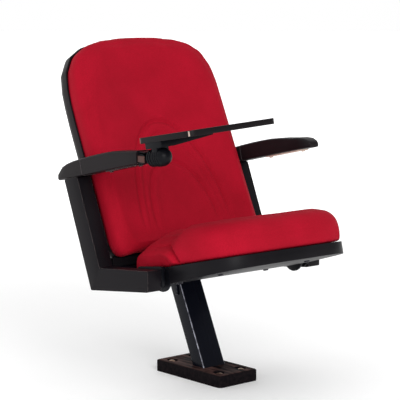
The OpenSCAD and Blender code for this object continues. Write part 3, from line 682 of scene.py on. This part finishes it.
@dataclass
class Cushion:
    """A foam cushion under stretched fabric, inflated as cloth from its CAD solid and then sewn."""

    node: str
    body: str
    finish: Finish
    axes: PadFrame
    # The pad's axis that its face looks along, and which way
    face_out: tuple[int, float]
    sew: Callable[[np.ndarray], np.ndarray]
    # Fabric that stands out less than this is held by the board
    held_below_mm: float
    voxel_mm: float = 5.0
    relax_factor: float = 0.6
    relax_passes: int = 20
    pressure: float = 4.0
    stiffness: float = 15.0
    bending: float = 4.0
    sim_frames: int = 20
    even_passes: int = 24
    # The share of each move into the foam that the foam takes back
    foam_hold: float = 0.6
    cap_mm: float = 6.0
    fill: float = 0.8

    def blank(self) -> Piece:
        """Copies the CAD solid, remeshes it evenly and relaxes its facets.

        Returns:
            The evenly meshed blank.
        """
        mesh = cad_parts[self.node].data.copy()
        obj = new_piece(f"{self.node}_fabric", mesh, self.finish, self.body)
        remesh = obj.modifiers.new("even", "REMESH")
        remesh.mode = "VOXEL"
        remesh.voxel_size = self.voxel_mm * MM
        remesh.use_smooth_shade = True
        relax = obj.modifiers.new("relax", "SMOOTH")
        relax.factor = self.relax_factor
        relax.iterations = self.relax_passes
        self.settle(obj)
        return obj

    def settle(self, obj: Piece) -> None:
        """Applies every modifier of a piece.

        Args:
            obj: The piece.
        """
        graph = bpy.context.evaluated_depsgraph_get()
        made = bpy.data.meshes.new_from_object(obj.evaluated_get(graph))
        obj.modifiers.clear()
        obj.data = made
        coat(made, self.finish)

    def inflate(self, obj: Piece) -> None:
        """Swells the blank as pressurised cloth, held where it rests on its board.

        Args:
            obj: The blank.
        """
        rest = read_vectors(obj.data)
        axis, sign = self.face_out
        out = self.axes.local(rest)[:, axis] * sign
        group = obj.vertex_groups.new(name="held")
        group.add([int(i) for i in np.nonzero(out < self.held_below_mm)[0]], 1.0, "REPLACE")
        cloth = obj.modifiers.new("cloth", "CLOTH")
        settings = cloth.settings
        settings.quality = 4
        settings.use_pressure = True
        settings.uniform_pressure_force = self.pressure
        settings.effector_weights.gravity = 0.0
        settings.tension_stiffness = self.stiffness
        settings.compression_stiffness = self.stiffness
        settings.bending_stiffness = self.bending
        settings.vertex_group_mass = group.name
        cloth.collision_settings.use_collision = False
        scene = bpy.context.scene
        for step in range(1, self.sim_frames + 1):
            scene.frame_set(step)
        graph = bpy.context.evaluated_depsgraph_get()
        swollen = read_vectors(obj.evaluated_get(graph).data)
        scene.frame_set(1)
        obj.modifiers.remove(cloth)
        obj.vertex_groups.clear()
        move = self.even(obj.data, swollen - rest)
        normals = read_vectors(obj.data, "normal")
        inward = np.minimum((move * normals).sum(axis=1, keepdims=True), 0.0)
        move -= self.foam_hold * inward * normals
        size = np.linalg.norm(move, axis=1, keepdims=True)
        cap = self.cap_mm * MM
        write_points(obj.data, rest + move * np.minimum(1, cap / np.maximum(size, 1e-9)))

    def even(self, mesh: Mesh, move: np.ndarray) -> np.ndarray:
        """Evens the swelling over its neighbours, as taut fabric does.

        Args:
            mesh: The blank's mesh.
            move: How far each point has moved.

        Returns:
            The moves without small wrinkles.
        """
        ends = np.empty(len(mesh.edges) * 2, dtype=np.int64)
        mesh.edges.foreach_get("vertices", ends)
        a, b = ends.reshape(-1, 2).T
        near, far = np.concatenate((a, b)), np.concatenate((b, a))
        share = 1 / (1 + np.bincount(near, minlength=len(move)))
        for _ in range(self.even_passes):
            sums = [np.bincount(near, weights=move[far, k], minlength=len(move)) for k in range(3)]
            move = (move + np.stack(sums, axis=1)) * share[:, None]
        return move

    def build(self) -> None:
        """Makes the whole cushion, which stands for its CAD solid."""
        obj = self.blank()
        self.inflate(obj)
        finer = obj.modifiers.new("finer", "SUBSURF")
        finer.levels = 1
        finer.render_levels = 1
        self.settle(obj)
        write_points(obj.data, self.axes.world(self.sew(self.axes.local(read_vectors(obj.data)))))
        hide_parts(self.node)


@dataclass
class CapScrew:
    """A domed cap screw with a hexagon socket, sitting on the face that it holds."""

    head_r_mm: float = 7.5
    head_h_mm: float = 4.2
    socket_across_mm: float = 5.0
    socket_deep_mm: float = 2.4
    # The head's foot, and the radius and height of its dome, as shares of its own radius and height
    foot_share: float = 0.98
    dome_r_share: float = 0.55
    dome_h_share: float = 0.7
    dome_deg: tuple[float, ...] = (0, 20, 40, 60, 75)
    # The socket's mouth and its chamfer's foot, as shares of the socket's radius and the head's height
    mouth_share: float = 1.25
    chamfer_share: float = 0.97
    # How far from the screw's axis its seat is felt for, as a share of the head's radius
    feel_share: float = 0.8
    cells: int = 36
    smooth_deg: float = 40.0

    def rings(self) -> list[tuple[float, float, bool]]:
        """Lays the head's rings out from its foot into its socket.

        Returns:
            Each ring's radius and height, in mm, and whether it is hexagonal.
        """
        r, h, s = self.head_r_mm, self.head_h_mm, self.socket_across_mm / 2
        rings = [(r * self.foot_share, 0.0, False)]
        for angle in np.radians(self.dome_deg):
            across, up = self.dome_r_share * math.cos(angle), self.dome_h_share * math.sin(angle)
            rings.append((r * (1 - self.dome_r_share + across), h * (1 - self.dome_h_share + up), False))
        return rings + [(s * self.mouth_share, h, False), (s, h * self.chamfer_share, True),
                        (s, h - self.socket_deep_mm, True)]

    def fit(self, name: str, carrier: Piece, start: Vector, way: Vector, body: str) -> None:
        """Finds the carrier's face on both sides of the screw's hole and seats the head there.

        Args:
            name: The screw's name.
            carrier: The object that the screw sits on.
            start: A point outside the carrier, in metres.
            way: The direction from there to the carrier.
            body: The CAD body that the screw rides on.
        """
        tree = BVHTree.FromObject(carrier, bpy.context.evaluated_depsgraph_get())
        rim = Vector((self.feel_share * self.head_r_mm * MM, 0, 0))
        left, normal, _, _ = tree.ray_cast(start - rim, way)
        right, _, _, _ = tree.ray_cast(start + rim, way)
        seat = (left + right) / 2
        turn = normal.to_track_quat("Z", "Y")
        bm = bmesh.new()
        loops = []
        for radius, height, hexagonal in self.rings():
            loop = []
            for angle in np.linspace(0, 2 * math.pi, self.cells, endpoint=False):
                reach = radius
                if hexagonal:
                    # The radius reaches a flat's middle, and a corner lies farther out
                    reach = radius / math.cos((angle + math.pi / 6) % (math.pi / 3) - math.pi / 6)
                spot = Vector((reach * math.cos(angle), reach * math.sin(angle), height)) * MM
                loop.append(bm.verts.new(seat + turn @ spot))
            loops.append(loop)
        for low, high in zip(loops, loops[1:]):
            for i in range(self.cells):
                j = (i + 1) % self.cells
                bm.faces.new((low[i], low[j], high[j], high[i]))
        bm.faces.new(loops[-1])
        bm.faces.new(reversed(loops[0]))
        split_edges(new_piece(name, bm, BLACK_OXIDE, body), self.smooth_deg)


@dataclass
class BackAssembly:
    """Back shell, board, straps, apron and the sewn back cushion."""

    axes: PadFrame = PadFrame((0.0, 87.0, 333.0), 24.0)
    # Each arch's half width, top, power, depth, half channel, the heights where it fades in, and its roll
    channels: tuple[ArchChannel, ...] = (
        ArchChannel(152.0, 352.0, 2.2, 6.2, 6.5, (30.0, 130.0), 1.6),
        ArchChannel(134.0, 318.0, 2.0, 3.0, 5.5, (30.0, 130.0), 0.8),
        ArchChannel(108.0, 236.0, 3.0, 5.2, 6.5, (30.0, 110.0), 1.8),
    )
    face_depth_mm: float = -20.0
    # The foam's face is evened out between these distances from its middle and these heights
    ease_mm: float = 16.0
    ease_cell_mm: float = 5.0
    ease_across_mm: Span = (160.0, 215.0)
    ease_foot_mm: Span = (45.0, 85.0)
    ease_top_mm: Span = (380.0, 450.0)
    # The middle of the face is hollowed by this much, between these places
    hollow_mm: float = 20.0
    hollow_across_mm: Span = (30.0, 200.0)
    hollow_foot_mm: Span = (0.0, 240.0)
    hollow_top_mm: Span = (440.0, 585.0)
    # How far the lower corners are drawn out over their board, across and down, and between which places
    corner_mm: Span = (4.0, 7.0)
    corner_across_mm: Span = (165.0, 235.0)
    corner_up_mm: Span = (4.0, 70.0)
    held_mm: float = 2.0
    strap_x_mm: float = 110.0
    strap_screws_mm: tuple[float, ...] = (125.0, 230.0)
    # How far behind the board the search for a strap's face starts
    behind_mm: float = 200.0

    def ease(self, points: np.ndarray) -> np.ndarray:
        """Evens the foam's face out, as it is before its seams are sewn.

        Args:
            points: The cushion's points in its own millimetres.

        Returns:
            The depth of each point, evened over the middle of the face.
        """
        x, y, v = points.T
        cell = self.ease_cell_mm
        face = y < self.face_depth_mm
        across, up = (x - x.min()) / cell, (v - v.min()) / cell
        shape = (int(across.max()) + 3, int(up.max()) + 3)
        total, count = np.zeros(shape), np.zeros(shape)
        at = (np.rint(across[face]).astype(int), np.rint(up[face]).astype(int))
        np.add.at(total, at, y[face])
        np.add.at(count, at, 1.0)
        # Each cell takes its neighbours' depths under a bell curve, cut off at three times its width
        reach = int(3 * self.ease_mm / cell)
        kernel = np.exp(-0.5 * (np.arange(-reach, reach + 1) * cell / self.ease_mm) ** 2)
        for axis in (0, 1):
            total = np.apply_along_axis(np.convolve, axis, total, kernel, "same")
            count = np.apply_along_axis(np.convolve, axis, count, kernel, "same")
        even = total / np.maximum(count, 1e-6)
        i, j = across.astype(int), up.astype(int)
        a, b = across - i, up - j
        soft = (even[i, j] * (1 - a) * (1 - b) + even[i + 1, j] * a * (1 - b)
                + even[i, j + 1] * (1 - a) * b + even[i + 1, j + 1] * a * b)
        share = ((1 - smooth_step(np.abs(x), *self.ease_across_mm)) * smooth_step(v, *self.ease_foot_mm)
                 * (1 - smooth_step(v, *self.ease_top_mm)) * face)
        return y + share * (soft - y)

    def sew(self, points: np.ndarray) -> np.ndarray:
        """Hollows the middle of the face and draws the seams into it.

        Args:
            points: The cushion's points in its own millimetres.

        Returns:
            The points with the seams sewn.
        """
        made = points.copy()
        x, y, v = points.T
        aside = np.abs(x)
        face = smooth_step(-y, 0.0, -self.face_depth_mm)
        made[:, 1] = self.ease(points)
        hollow = (1 - smooth_step(aside, *self.hollow_across_mm)) * smooth_step(v, *self.hollow_foot_mm)
        made[:, 1] += self.hollow_mm * hollow * (1 - smooth_step(v, *self.hollow_top_mm)) * face
        for channel in self.channels:
            made[:, 1] += channel.sink(x, v) * face
        corner = smooth_step(aside, *self.corner_across_mm) * (1 - smooth_step(v, *self.corner_up_mm))
        out, down = self.corner_mm
        made[:, 0] += np.sign(x) * out * corner
        made[:, 2] -= down * corner
        return made

    def build(self) -> None:
        """Dresses the back's nodes, fits the strap screws and makes the cushion."""
        dress("back_shell", SATIN_PLASTIC, smooth_deg=50)
        dress("back_board", BACK_PLYWOOD)
        dress("back_apron", SHELL_PLASTIC, round_mm=0.8)
        cos, sin = self.axes.slope()
        forward = Vector((0.0, -cos, sin))
        for sign, side in zip((-1, 1), Side):
            strap = dress(f"{side.value}_back_strap", FRAME_COAT, round_mm=0.8)
            for number, height in enumerate(self.strap_screws_mm, 1):
                start = self.axes.point(sign * self.strap_x_mm, self.behind_mm, height)
                CapScrew().fit(f"{side.value}_strap_screw_{number}", strap, start, forward, "frame")
        Cushion(
            node="back_cushion", body="frame", finish=UPHOLSTERY_BACK, axes=self.axes, face_out=(1, -1.0),
            sew=self.sew, held_below_mm=self.held_mm).build()


@dataclass
class SeatAssembly:
    """Seat pan, board, hinge plates and the seat cushion."""

    axes: PadFrame = PadFrame((0.0, -95.0, 303.0), 13.2)
    rim_mm: float = 25.3
    held_over_rim_mm: float = 3.0
    # Where the rear corner's fabric folds, as depth and height on the cushion's side
    fold_mm: tuple[Span, ...] = (
        (90.0, 78.0), (45.0, 80.0), (10.0, 79.0), (-20.0, 77.0), (-38.0, 73.5), (-54.0, 67.0), (-66.0, 56.0),
        (-74.0, 41.0), (-77.0, 26.0))
    fold_depth_mm: float = 10.0
    fold_half_mm: float = 4.6
    # How much of its depth the fold keeps along the flank, behind the place where it turns down
    fold_flank: float = 0.4
    fold_turn_mm: Span = (-38.0, 12.0)
    # The flank starts between these distances from the middle, and the fold fades out this far over the rim
    flank_mm: Span = (196.0, 226.0)
    fold_fade_mm: float = 10.0
    # The roll stands proud behind the fold: its height, its distance from the fold and its half width
    roll_mm: float = 8.0
    roll_at_mm: float = 14.0
    roll_half_mm: float = 11.0
    # The rear corners are drawn back by this much, between these places
    corner_mm: float = 13.0
    corner_across_mm: Span = (150.0, 222.0)
    corner_back_mm: Span = (20.0, 95.0)
    shoulder_drop_mm: float = 24.0
    shoulder_across_mm: Span = (90.0, 225.0)
    shoulder_back_mm: Span = (-95.0, -30.0)
    # The drop starts this far above the rim, and is whole this much higher
    shoulder_foot_mm: float = 12.0
    shoulder_tall_mm: float = 60.0
    # The gathers round the front corners: their middle, how far they spread, and each one's size
    gather_at_mm: Span = (178.0, 48.0)
    gather_spread_mm: Span = (16.0, 22.0)
    gather_pitch_mm: float = 9.0
    gather_depth_mm: float = 0.9
    gather_lean: float = 0.12
    gather_front_mm: float = -150.0
    screws_mm: tuple[Span, ...] = ((-150.0, -130.0), (150.0, -130.0), (-150.0, 30.0), (150.0, 30.0))
    # How far up from the board the search for the pan's underside starts, which is below the whole pan
    below_mm: float = -90.0

    def fold_distance(self, depth: np.ndarray, height: np.ndarray) -> tuple[np.ndarray, np.ndarray]:
        """Measures how far each place on the cushion's side is from the fold.

        Args:
            depth: Places along the seat, in mm.
            height: Places up the cushion, in mm.

        Returns:
            The distance to the fold, and the same with a sign that is positive behind it.
        """
        best = np.full(depth.shape, np.inf)
        signed = best.copy()
        for (y0, z0), (y1, z1) in zip(self.fold_mm, self.fold_mm[1:]):
            ey, ez = y1 - y0, z1 - z0
            dy, dz = depth - y0, height - z0
            t = np.clip((dy * ey + dz * ez) / (ey * ey + ez * ez), 0, 1)
            away = np.hypot(dy - t * ey, dz - t * ez)
            behind = dz * ey - dy * ez
            signed = np.where(away < best, np.where(behind > 0, away, -away), signed)
            best = np.minimum(best, away)
        return best, signed

    def sew(self, points: np.ndarray) -> np.ndarray:
        """Drops the shoulders, folds the fabric at the rear corners and gathers it round the front ones.

        Args:
            points: The cushion's points in its own millimetres.

        Returns:
            The points with folds and gathers.
        """
        made = points.copy()
        x, y, z = points.T
        aside = np.abs(x)
        # Behind the fold the pad's shoulders fall away toward the arm supports
        rise = np.clip((z - self.rim_mm - self.shoulder_foot_mm) / self.shoulder_tall_mm, 0.0, 1.0)
        drop = smooth_step(aside, *self.shoulder_across_mm) * smooth_step(y, *self.shoulder_back_mm) * rise
        made[:, 2] -= self.shoulder_drop_mm * drop
        z = made[:, 2]
        away, signed = self.fold_distance(y, z)
        fold = self.fold_depth_mm * ridge(away, self.fold_half_mm)
        roll = self.roll_mm * ridge(signed - self.roll_at_mm, self.roll_half_mm) * (signed > 0)
        ahead = self.fold_flank + (1 - self.fold_flank) * (1 - smooth_step(y, *self.fold_turn_mm))
        flank = smooth_step(aside, *self.flank_mm)
        above = smooth_step(z, self.rim_mm, self.rim_mm + self.fold_fade_mm)
        made[:, 0] -= np.sign(x) * (fold - roll) * ahead * flank * above
        corner = smooth_step(aside, *self.corner_across_mm) * smooth_step(y, *self.corner_back_mm)
        made[:, 1] += self.corner_mm * corner
        at_x, at_z = self.gather_at_mm
        wide, tall = self.gather_spread_mm
        lean = aside + self.gather_lean * (z - at_z) - at_x
        ripple = self.gather_depth_mm * np.cos(2 * math.pi * lean / self.gather_pitch_mm)
        made[:, 1] += ripple * ridge(aside - at_x, wide) * ridge(z - at_z, tall) * (y < self.gather_front_mm)
        return made

    def build(self) -> None:
        """Dresses the seat's nodes, fits the pan's screws and makes the cushion."""
        pan = dress("seat_pan", SHELL_PLASTIC, round_mm=0.8, smooth_deg=30)
        dress("seat_board", SEAT_PLYWOOD)
        for side in Side:
            dress(f"{side.value}_hinge_plate", HINGE_COAT, round_mm=0.5)
        cos, sin = self.axes.slope()
        upward = Vector((0.0, sin, cos))
        for number, (x, y) in enumerate(self.screws_mm, 1):
            CapScrew().fit(f"pan_screw_{number}", pan, self.axes.point(x, y, self.below_mm), upward, "seat")
        Cushion(
            node="seat_cushion", body="seat", finish=UPHOLSTERY_SEAT, axes=self.axes, face_out=(2, 1.0),
            sew=self.sew, held_below_mm=self.rim_mm + self.held_over_rim_mm).build()


@dataclass
class BaseAndLeg:
    """Cast base, its floor bolts, the leaning leg and the cross beam."""

    bolt_x_mm: float = 38.0
    bolt_y_mm: float = 96.0
    pocket_floor_mm: float = 21.0
    head_across_mm: float = 16.0
    head_height_mm: float = 6.0
    washer_r_mm: float = 10.5
    washer_t_mm: float = 1.6
    # The dome on a bolt's head: its radius as a share of the head's width, and its height as one of that
    dome_share: float = 0.42
    dome_flatness: float = 0.28
    arris_mm: float = 0.5

    def bolt(self, number: int, x: float, y: float) -> None:
        """Makes one hexagon bolt head on its washer, seated in a pocket.

        Args:
            number: Its place in the row of bolts.
            x: Place across the seat, in mm.
            y: Place along the seat, in mm.
        """
        bm = bmesh.new()
        hexagon_r = self.head_across_mm / math.sqrt(3)
        level = self.pocket_floor_mm
        for sides, radius, tall in (
                (40, self.washer_r_mm, self.washer_t_mm), (6, hexagon_r, self.head_height_mm)):
            disc = bmesh.ops.create_cone(
                bm, cap_ends=True, segments=sides, radius1=radius * MM, radius2=radius * MM, depth=tall * MM)
            middle = Vector((x, y, level + tall / 2)) * MM
            bmesh.ops.translate(bm, verts=disc["verts"], vec=middle)
            level += tall
        dome_r = self.head_across_mm * self.dome_share * MM
        dome = bmesh.ops.create_uvsphere(bm, u_segments=24, v_segments=12, radius=dome_r)
        bmesh.ops.scale(bm, verts=dome["verts"], vec=(1, 1, self.dome_flatness))
        bmesh.ops.translate(bm, verts=dome["verts"], vec=Vector((x, y, level)) * MM)
        obj = new_piece(f"floor_bolt_{number}", bm, BRASSY, "frame")
        bevel = obj.modifiers.new("arrises", "BEVEL")
        bevel.width = self.arris_mm * MM
        bevel.segments = 2
        bevel.limit_method = "ANGLE"
        split_edges(obj, angle_deg=35)

    def build(self) -> None:
        """Dresses the base, leg and beam and seats the four bolts."""
        dress("base_foot", BASE_ENAMEL, round_mm=1.2, smooth_deg=30)
        dress("leg_post", FRAME_COAT, smooth_deg=30)
        dress("leg_saddle", FRAME_COAT, round_mm=0.8)
        dress("cross_beam", FRAME_COAT, smooth_deg=30)
        for side in Side:
            dress(f"{side.value}_beam_flange", FRAME_COAT, round_mm=0.6)
        places = [(sx * self.bolt_x_mm, sy * self.bolt_y_mm) for sx in (-1, 1) for sy in (-1, 1)]
        for number, (x, y) in enumerate(places, 1):
            self.bolt(number, x, y)


@dataclass
class ArmAssembly:
    """Arm supports, hinge housings and pins, armrests and the strips under them."""

    # The armrest's moulded end cap meets its pad on this leaning plane
    joint_mm: Triple = (0.0, 142.0, 568.0)
    joint_way: Triple = (0.0, 0.976, -0.218)
    joint_bead_mm: float = 0.45
    # Points nearer than this to the plane lie on it
    on_plane_mm: float = 0.01

    def joint(self, side: Side) -> None:
        """Runs a fine moulded line round an armrest, where its end cap starts, painted pale as a highlight.

        Args:
            side: The armrest's side.
        """
        bm = bmesh.new()
        bm.from_mesh(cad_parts[f"{side.value}_armrest"].data)
        place, way = Vector(self.joint_mm) * MM, Vector(self.joint_way)
        every = bm.verts[:] + bm.edges[:] + bm.faces[:]
        bmesh.ops.bisect_plane(bm, geom=every, plane_co=place, plane_no=way)
        ring = [v.co.copy() for v in bm.verts if abs((v.co - place).dot(way)) < self.on_plane_mm * MM]
        bm.free()
        middle = sum(ring, Vector()) / len(ring)
        ring.sort(key=lambda p: math.atan2(p.z - middle.z, p.x - middle.x))
        line = bead(ring, self.joint_bead_mm)
        new_piece(f"{side.value}_armrest_joint", line, JOINT_PLASTIC, "frame")

    def build(self) -> None:
        """Dresses every node of both arms and draws the armrests' joints."""
        # Left strip: dark, with painted highlights on its arrises. Right strip: painted pale as a reflection
        for side, strip in zip(Side, (HINGE_COAT, STRIP_COAT)):
            dress(
                f"{side.value}_arm_support", SUPPORT_PLASTIC, round_mm=1.4, smooth_deg=30,
                arris=RUBBED_PLASTIC)
            dress(f"{side.value}_pivot_housing", HINGE_PLASTIC, round_mm=1.0)
            dress(f"{side.value}_pivot_pin", ZINC)
            dress(f"{side.value}_stop_pin", ZINC)
            dress(f"{side.value}_armrest", SATIN_PLASTIC, smooth_deg=55)
            dress(f"{side.value}_arm_strip", strip, round_mm=0.9, arris=STRIP_COAT)
            self.joint(side)


@dataclass
class TabletAssembly:
    """Tablet housing, two-axis knuckle, bracket and board."""

    swing_mm: Triple = (-277.5, -100.0, 606.0)
    rise_deg: float = 9.2
    cant_deg: float = 3.4
    collar_r_mm: float = 22.0
    rib_from_mm: float = 45.0
    rib_pitch_mm: float = 6.5
    ribs: int = 3
    rib_r_mm: float = 1.5
    rib_sides: int = 48
    block_mm: Triple = (3.4, 25.0, 16.0)
    block_at_mm: Triple = (-297.1, -98.5, 606.0)
    block_round_mm: float = 1.1
    lift_mm: float = 38.0
    board_out_mm: float = 22.0
    board_back_mm: float = 9.0
    board_deep_mm: float = 200.0
    board_t_mm: float = 15.0
    corner_r_mm: float = 22.0
    # Where on the front and the rear corner the painted highlight stands
    front_joint_deg: float = 222.0
    rear_joint_deg: float = 150.0
    joint_half_deg: float = 5.0
    joint_proud_mm: float = 0.15
    joint_inset_mm: float = 1.2
    joint_t_mm: float = 0.3
    joint_steps: int = 4

    def place(self, x: float, y: float, z: float, canted: bool = False) -> Vector:
        """Turns millimetres about the tablet's hinge into a point of the seat, in metres.

        Args:
            x: Across the seat.
            y: Along the barrel, backward.
            z: Up from the hinge, or from the tablet's underside.
            canted: Whether the point is given in the tablet's own plane.

        Returns:
            The point.
        """
        if canted:
            a = -math.radians(self.cant_deg)
            x, z = x * math.cos(a) + z * math.sin(a), -x * math.sin(a) + z * math.cos(a) + self.lift_mm
        a = -math.radians(self.rise_deg)
        y, z = y * math.cos(a) - z * math.sin(a), y * math.sin(a) + z * math.cos(a)
        return (Vector(self.swing_mm) + Vector((x, y, z))) * MM

    def collar_ribs(self) -> None:
        """Puts the grip ribs round the bracket's collar."""
        for number in range(1, self.ribs + 1):
            y = -(self.rib_from_mm + (number - 1) * self.rib_pitch_mm)
            ring = [self.place(self.collar_r_mm * math.cos(t), y, self.collar_r_mm * math.sin(t))
                    for t in np.linspace(0, 2 * math.pi, self.rib_sides, endpoint=False)]
            rib = bead(ring, self.rib_r_mm)
            new_piece(f"collar_rib_{number}", rib, HINGE_PLASTIC, "tablet")

    def cover_block(self) -> None:
        """Fits the small brown cover over the swing pin's head."""
        bm = bmesh.new()
        bmesh.ops.create_cube(bm, size=1.0)
        bmesh.ops.scale(bm, verts=bm.verts, vec=Vector(self.block_mm) * MM)
        bmesh.ops.bevel(
            bm, geom=bm.edges[:], offset=self.block_round_mm * MM, segments=3, affect="EDGES", profile=0.5)
        bmesh.ops.translate(bm, verts=bm.verts, vec=Vector(self.block_at_mm) * MM)
        new_piece("swing_pin_cover", bm, COVER_PLASTIC, "frame")

    def band_joint(self, name: str, y_centre: float, angle: float) -> None:
        """Puts a thin pale strip on one of the board's rounded corners, as a painted highlight.

        Args:
            name: The piece's name.
            y_centre: Where the corner's arc has its centre, along the barrel, in mm.
            angle: Where on the arc the painted highlight is, in degrees.
        """
        bm = bmesh.new()
        x_centre = self.corner_r_mm - self.board_out_mm
        reach = self.corner_r_mm + self.joint_proud_mm
        half, inset = self.joint_half_deg, self.joint_inset_mm
        arc = np.radians(np.linspace(angle - half, angle + half, self.joint_steps + 1))
        spots = [(x_centre + reach * math.cos(t), y_centre + reach * math.sin(t)) for t in arc]
        low, high = [
            [bm.verts.new(self.place(x, y, z, canted=True)) for x, y in spots]
            for z in (inset, self.board_t_mm - inset)]
        for i in range(self.joint_steps):
            bm.faces.new((low[i], low[i + 1], high[i + 1], high[i]))
        obj = new_piece(name, bm, LAMINATE_ARRIS, "tablet")
        thick = obj.modifiers.new("thick", "SOLIDIFY")
        thick.thickness = self.joint_t_mm * MM
        thick.offset = 0.0

    def build(self) -> None:
        """Dresses every node of the tablet and adds its ribs, cover and painted corner highlights."""
        dress("tablet_housing", HINGE_PLASTIC, round_mm=0.8)
        dress("swing_pin", BLACK_OXIDE)
        dress("knuckle_tongue", HINGE_PLASTIC, round_mm=0.4)
        dress("knuckle_journal", ZINC)
        dress("knuckle_nose", HINGE_PLASTIC)
        dress("tablet_bracket", HINGE_PLASTIC, round_mm=0.8)
        dress("tablet_board", LAMINATE, round_mm=1.0, smooth_deg=30, arris=LAMINATE_EDGE)
        self.collar_ribs()
        self.cover_block()
        front = self.board_back_mm - self.board_deep_mm + self.corner_r_mm
        self.band_joint("board_front_joint", front, self.front_joint_deg)
        self.band_joint("board_rear_joint", self.board_back_mm - self.corner_r_mm, self.rear_joint_deg)


@dataclass(frozen=True)
class SoftLight:
    """A soft square light that faces the seat's middle."""

    name: str
    place_m: Triple
    edge_m: float
    watts: float
    aim_m: Triple = (0.0, 0.0, 0.5)

    def build(self) -> None:
        """Hangs the light."""
        data = bpy.data.lights.new(self.name, "AREA")
        data.energy = self.watts
        data.size = self.edge_m
        lamp = put_in_scene(self.name, data)
        lamp.location = self.place_m
        lamp.rotation_mode = "QUATERNION"
        lamp.rotation_quaternion = (Vector(self.place_m) - Vector(self.aim_m)).to_track_quat("Z", "Y")


@dataclass
class Studio:
    """Plain pale floor that glows toward its edges, soft light and the camera at the photograph's place."""

    camera_mm: Triple = (-2605.0, -2971.0, 986.0)
    yaw_deg: float = 41.01
    pitch_deg: float = -7.43
    lens_mm: float = 136.6
    lights: tuple[SoftLight, ...] = (
        SoftLight("key", (-1.2, -3.9, 2.0), 1.8, 82.0),
        SoftLight("fill", (-4.0, -1.2, 1.4), 2.4, 3.0),
    )
    floor_half_m: float = 80.0
    # The floor's own light, at these distances from the seat
    glow_m: Span = (0.9, 4.0)
    glow: Span = (0.1, 0.5)
    # The walls' brightness falls toward the right of the camera, so faces that turn that way look deeper
    dim: float = 0.25
    # Dim at the first and white at the second, from -1 at the far right to 1 at the far left
    white_reach: Span = (-0.95, 0.05)
    # How much a wall is whiter the higher it is
    wall_rise: float = 0.35

    def floor(self) -> None:
        """Makes the plain pale floor, which glows more the farther it is from the seat."""
        mesh = bpy.data.meshes.new("studio_floor")
        h = self.floor_half_m
        mesh.from_pydata([(-h, -h, 0), (h, -h, 0), (h, h, 0), (-h, h, 0)], [], [(0, 1, 2, 3)])
        obj = put_in_scene("studio_floor", mesh)
        made = bpy.data.materials.new("pale_studio_floor")
        add = fresh_tree(made)
        place = add("TexCoord").outputs["Object"]
        away = add("VectorMath", {0: place}, operation="LENGTH").outputs["Value"]
        (near, far), (low, high) = self.glow_m, self.glow
        glow = add(
            "MapRange", {"Value": away, "From Min": near, "From Max": far, "To Min": low, "To Max": high},
            interpolation_type="SMOOTHSTEP")
        shader = add("BsdfPrincipled", {
            "Base Color": linear("fbfbfb"), "Roughness": 0.7, "Specular IOR Level": 0.2,
            "Emission Color": linear("ffffff"), "Emission Strength": glow})
        add("OutputMaterial", {"Surface": shader})
        mesh.materials.append(made)

    def surround(self) -> None:
        """Makes the studio's walls: white behind the seat and above it, dim to the right of the camera."""
        world = bpy.data.worlds.new("soft_white_studio")
        add = fresh_tree(world)
        yaw = math.radians(self.yaw_deg)
        white_way = (-math.sin(yaw), math.cos(yaw), self.wall_rise)
        sky = add("TexCoord").outputs["Generated"]
        way = add("VectorMath", {0: sky, 1: white_way}, operation="DOT_PRODUCT").outputs["Value"]
        low, high = self.white_reach
        fall = add(
            "MapRange", {"Value": way, "From Min": low, "From Max": high, "To Min": self.dim, "To Max": 1.0},
            interpolation_type="SMOOTHSTEP")
        add("OutputWorld", {"Surface": add("Background", {"Color": linear("ffffff"), "Strength": fall})})
        bpy.context.scene.world = world

    def camera(self) -> None:
        """Sets the camera where the photograph was taken from."""
        data = bpy.data.cameras.new("camera")
        data.sensor_width = 36.0
        data.lens = self.lens_mm
        data.clip_end = 50.0
        cam = put_in_scene("camera", data)
        cam.location = Vector(self.camera_mm) * MM
        cam.rotation_euler = (math.radians(90 + self.pitch_deg), 0.0, -math.radians(self.yaw_deg))
        bpy.context.scene.camera = cam

    def build(self) -> None:
        """Makes the whole studio."""
        self.floor()
        self.surround()
        for light in self.lights:
            light.build()
        self.camera()
        bpy.context.scene.view_settings.view_transform = "Standard"


def main() -> None:
    """Builds the seat around its frame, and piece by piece."""
    logging.basicConfig(level=logging.INFO, format="%(name)s: %(message)s")
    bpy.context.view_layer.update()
    for part in (Studio(), BaseAndLeg(), ArmAssembly(), BackAssembly(), SeatAssembly(), TabletAssembly()):
        LOG.info("building %s", type(part).__name__)
        part.build()


if __name__ == "__main__":
    main()
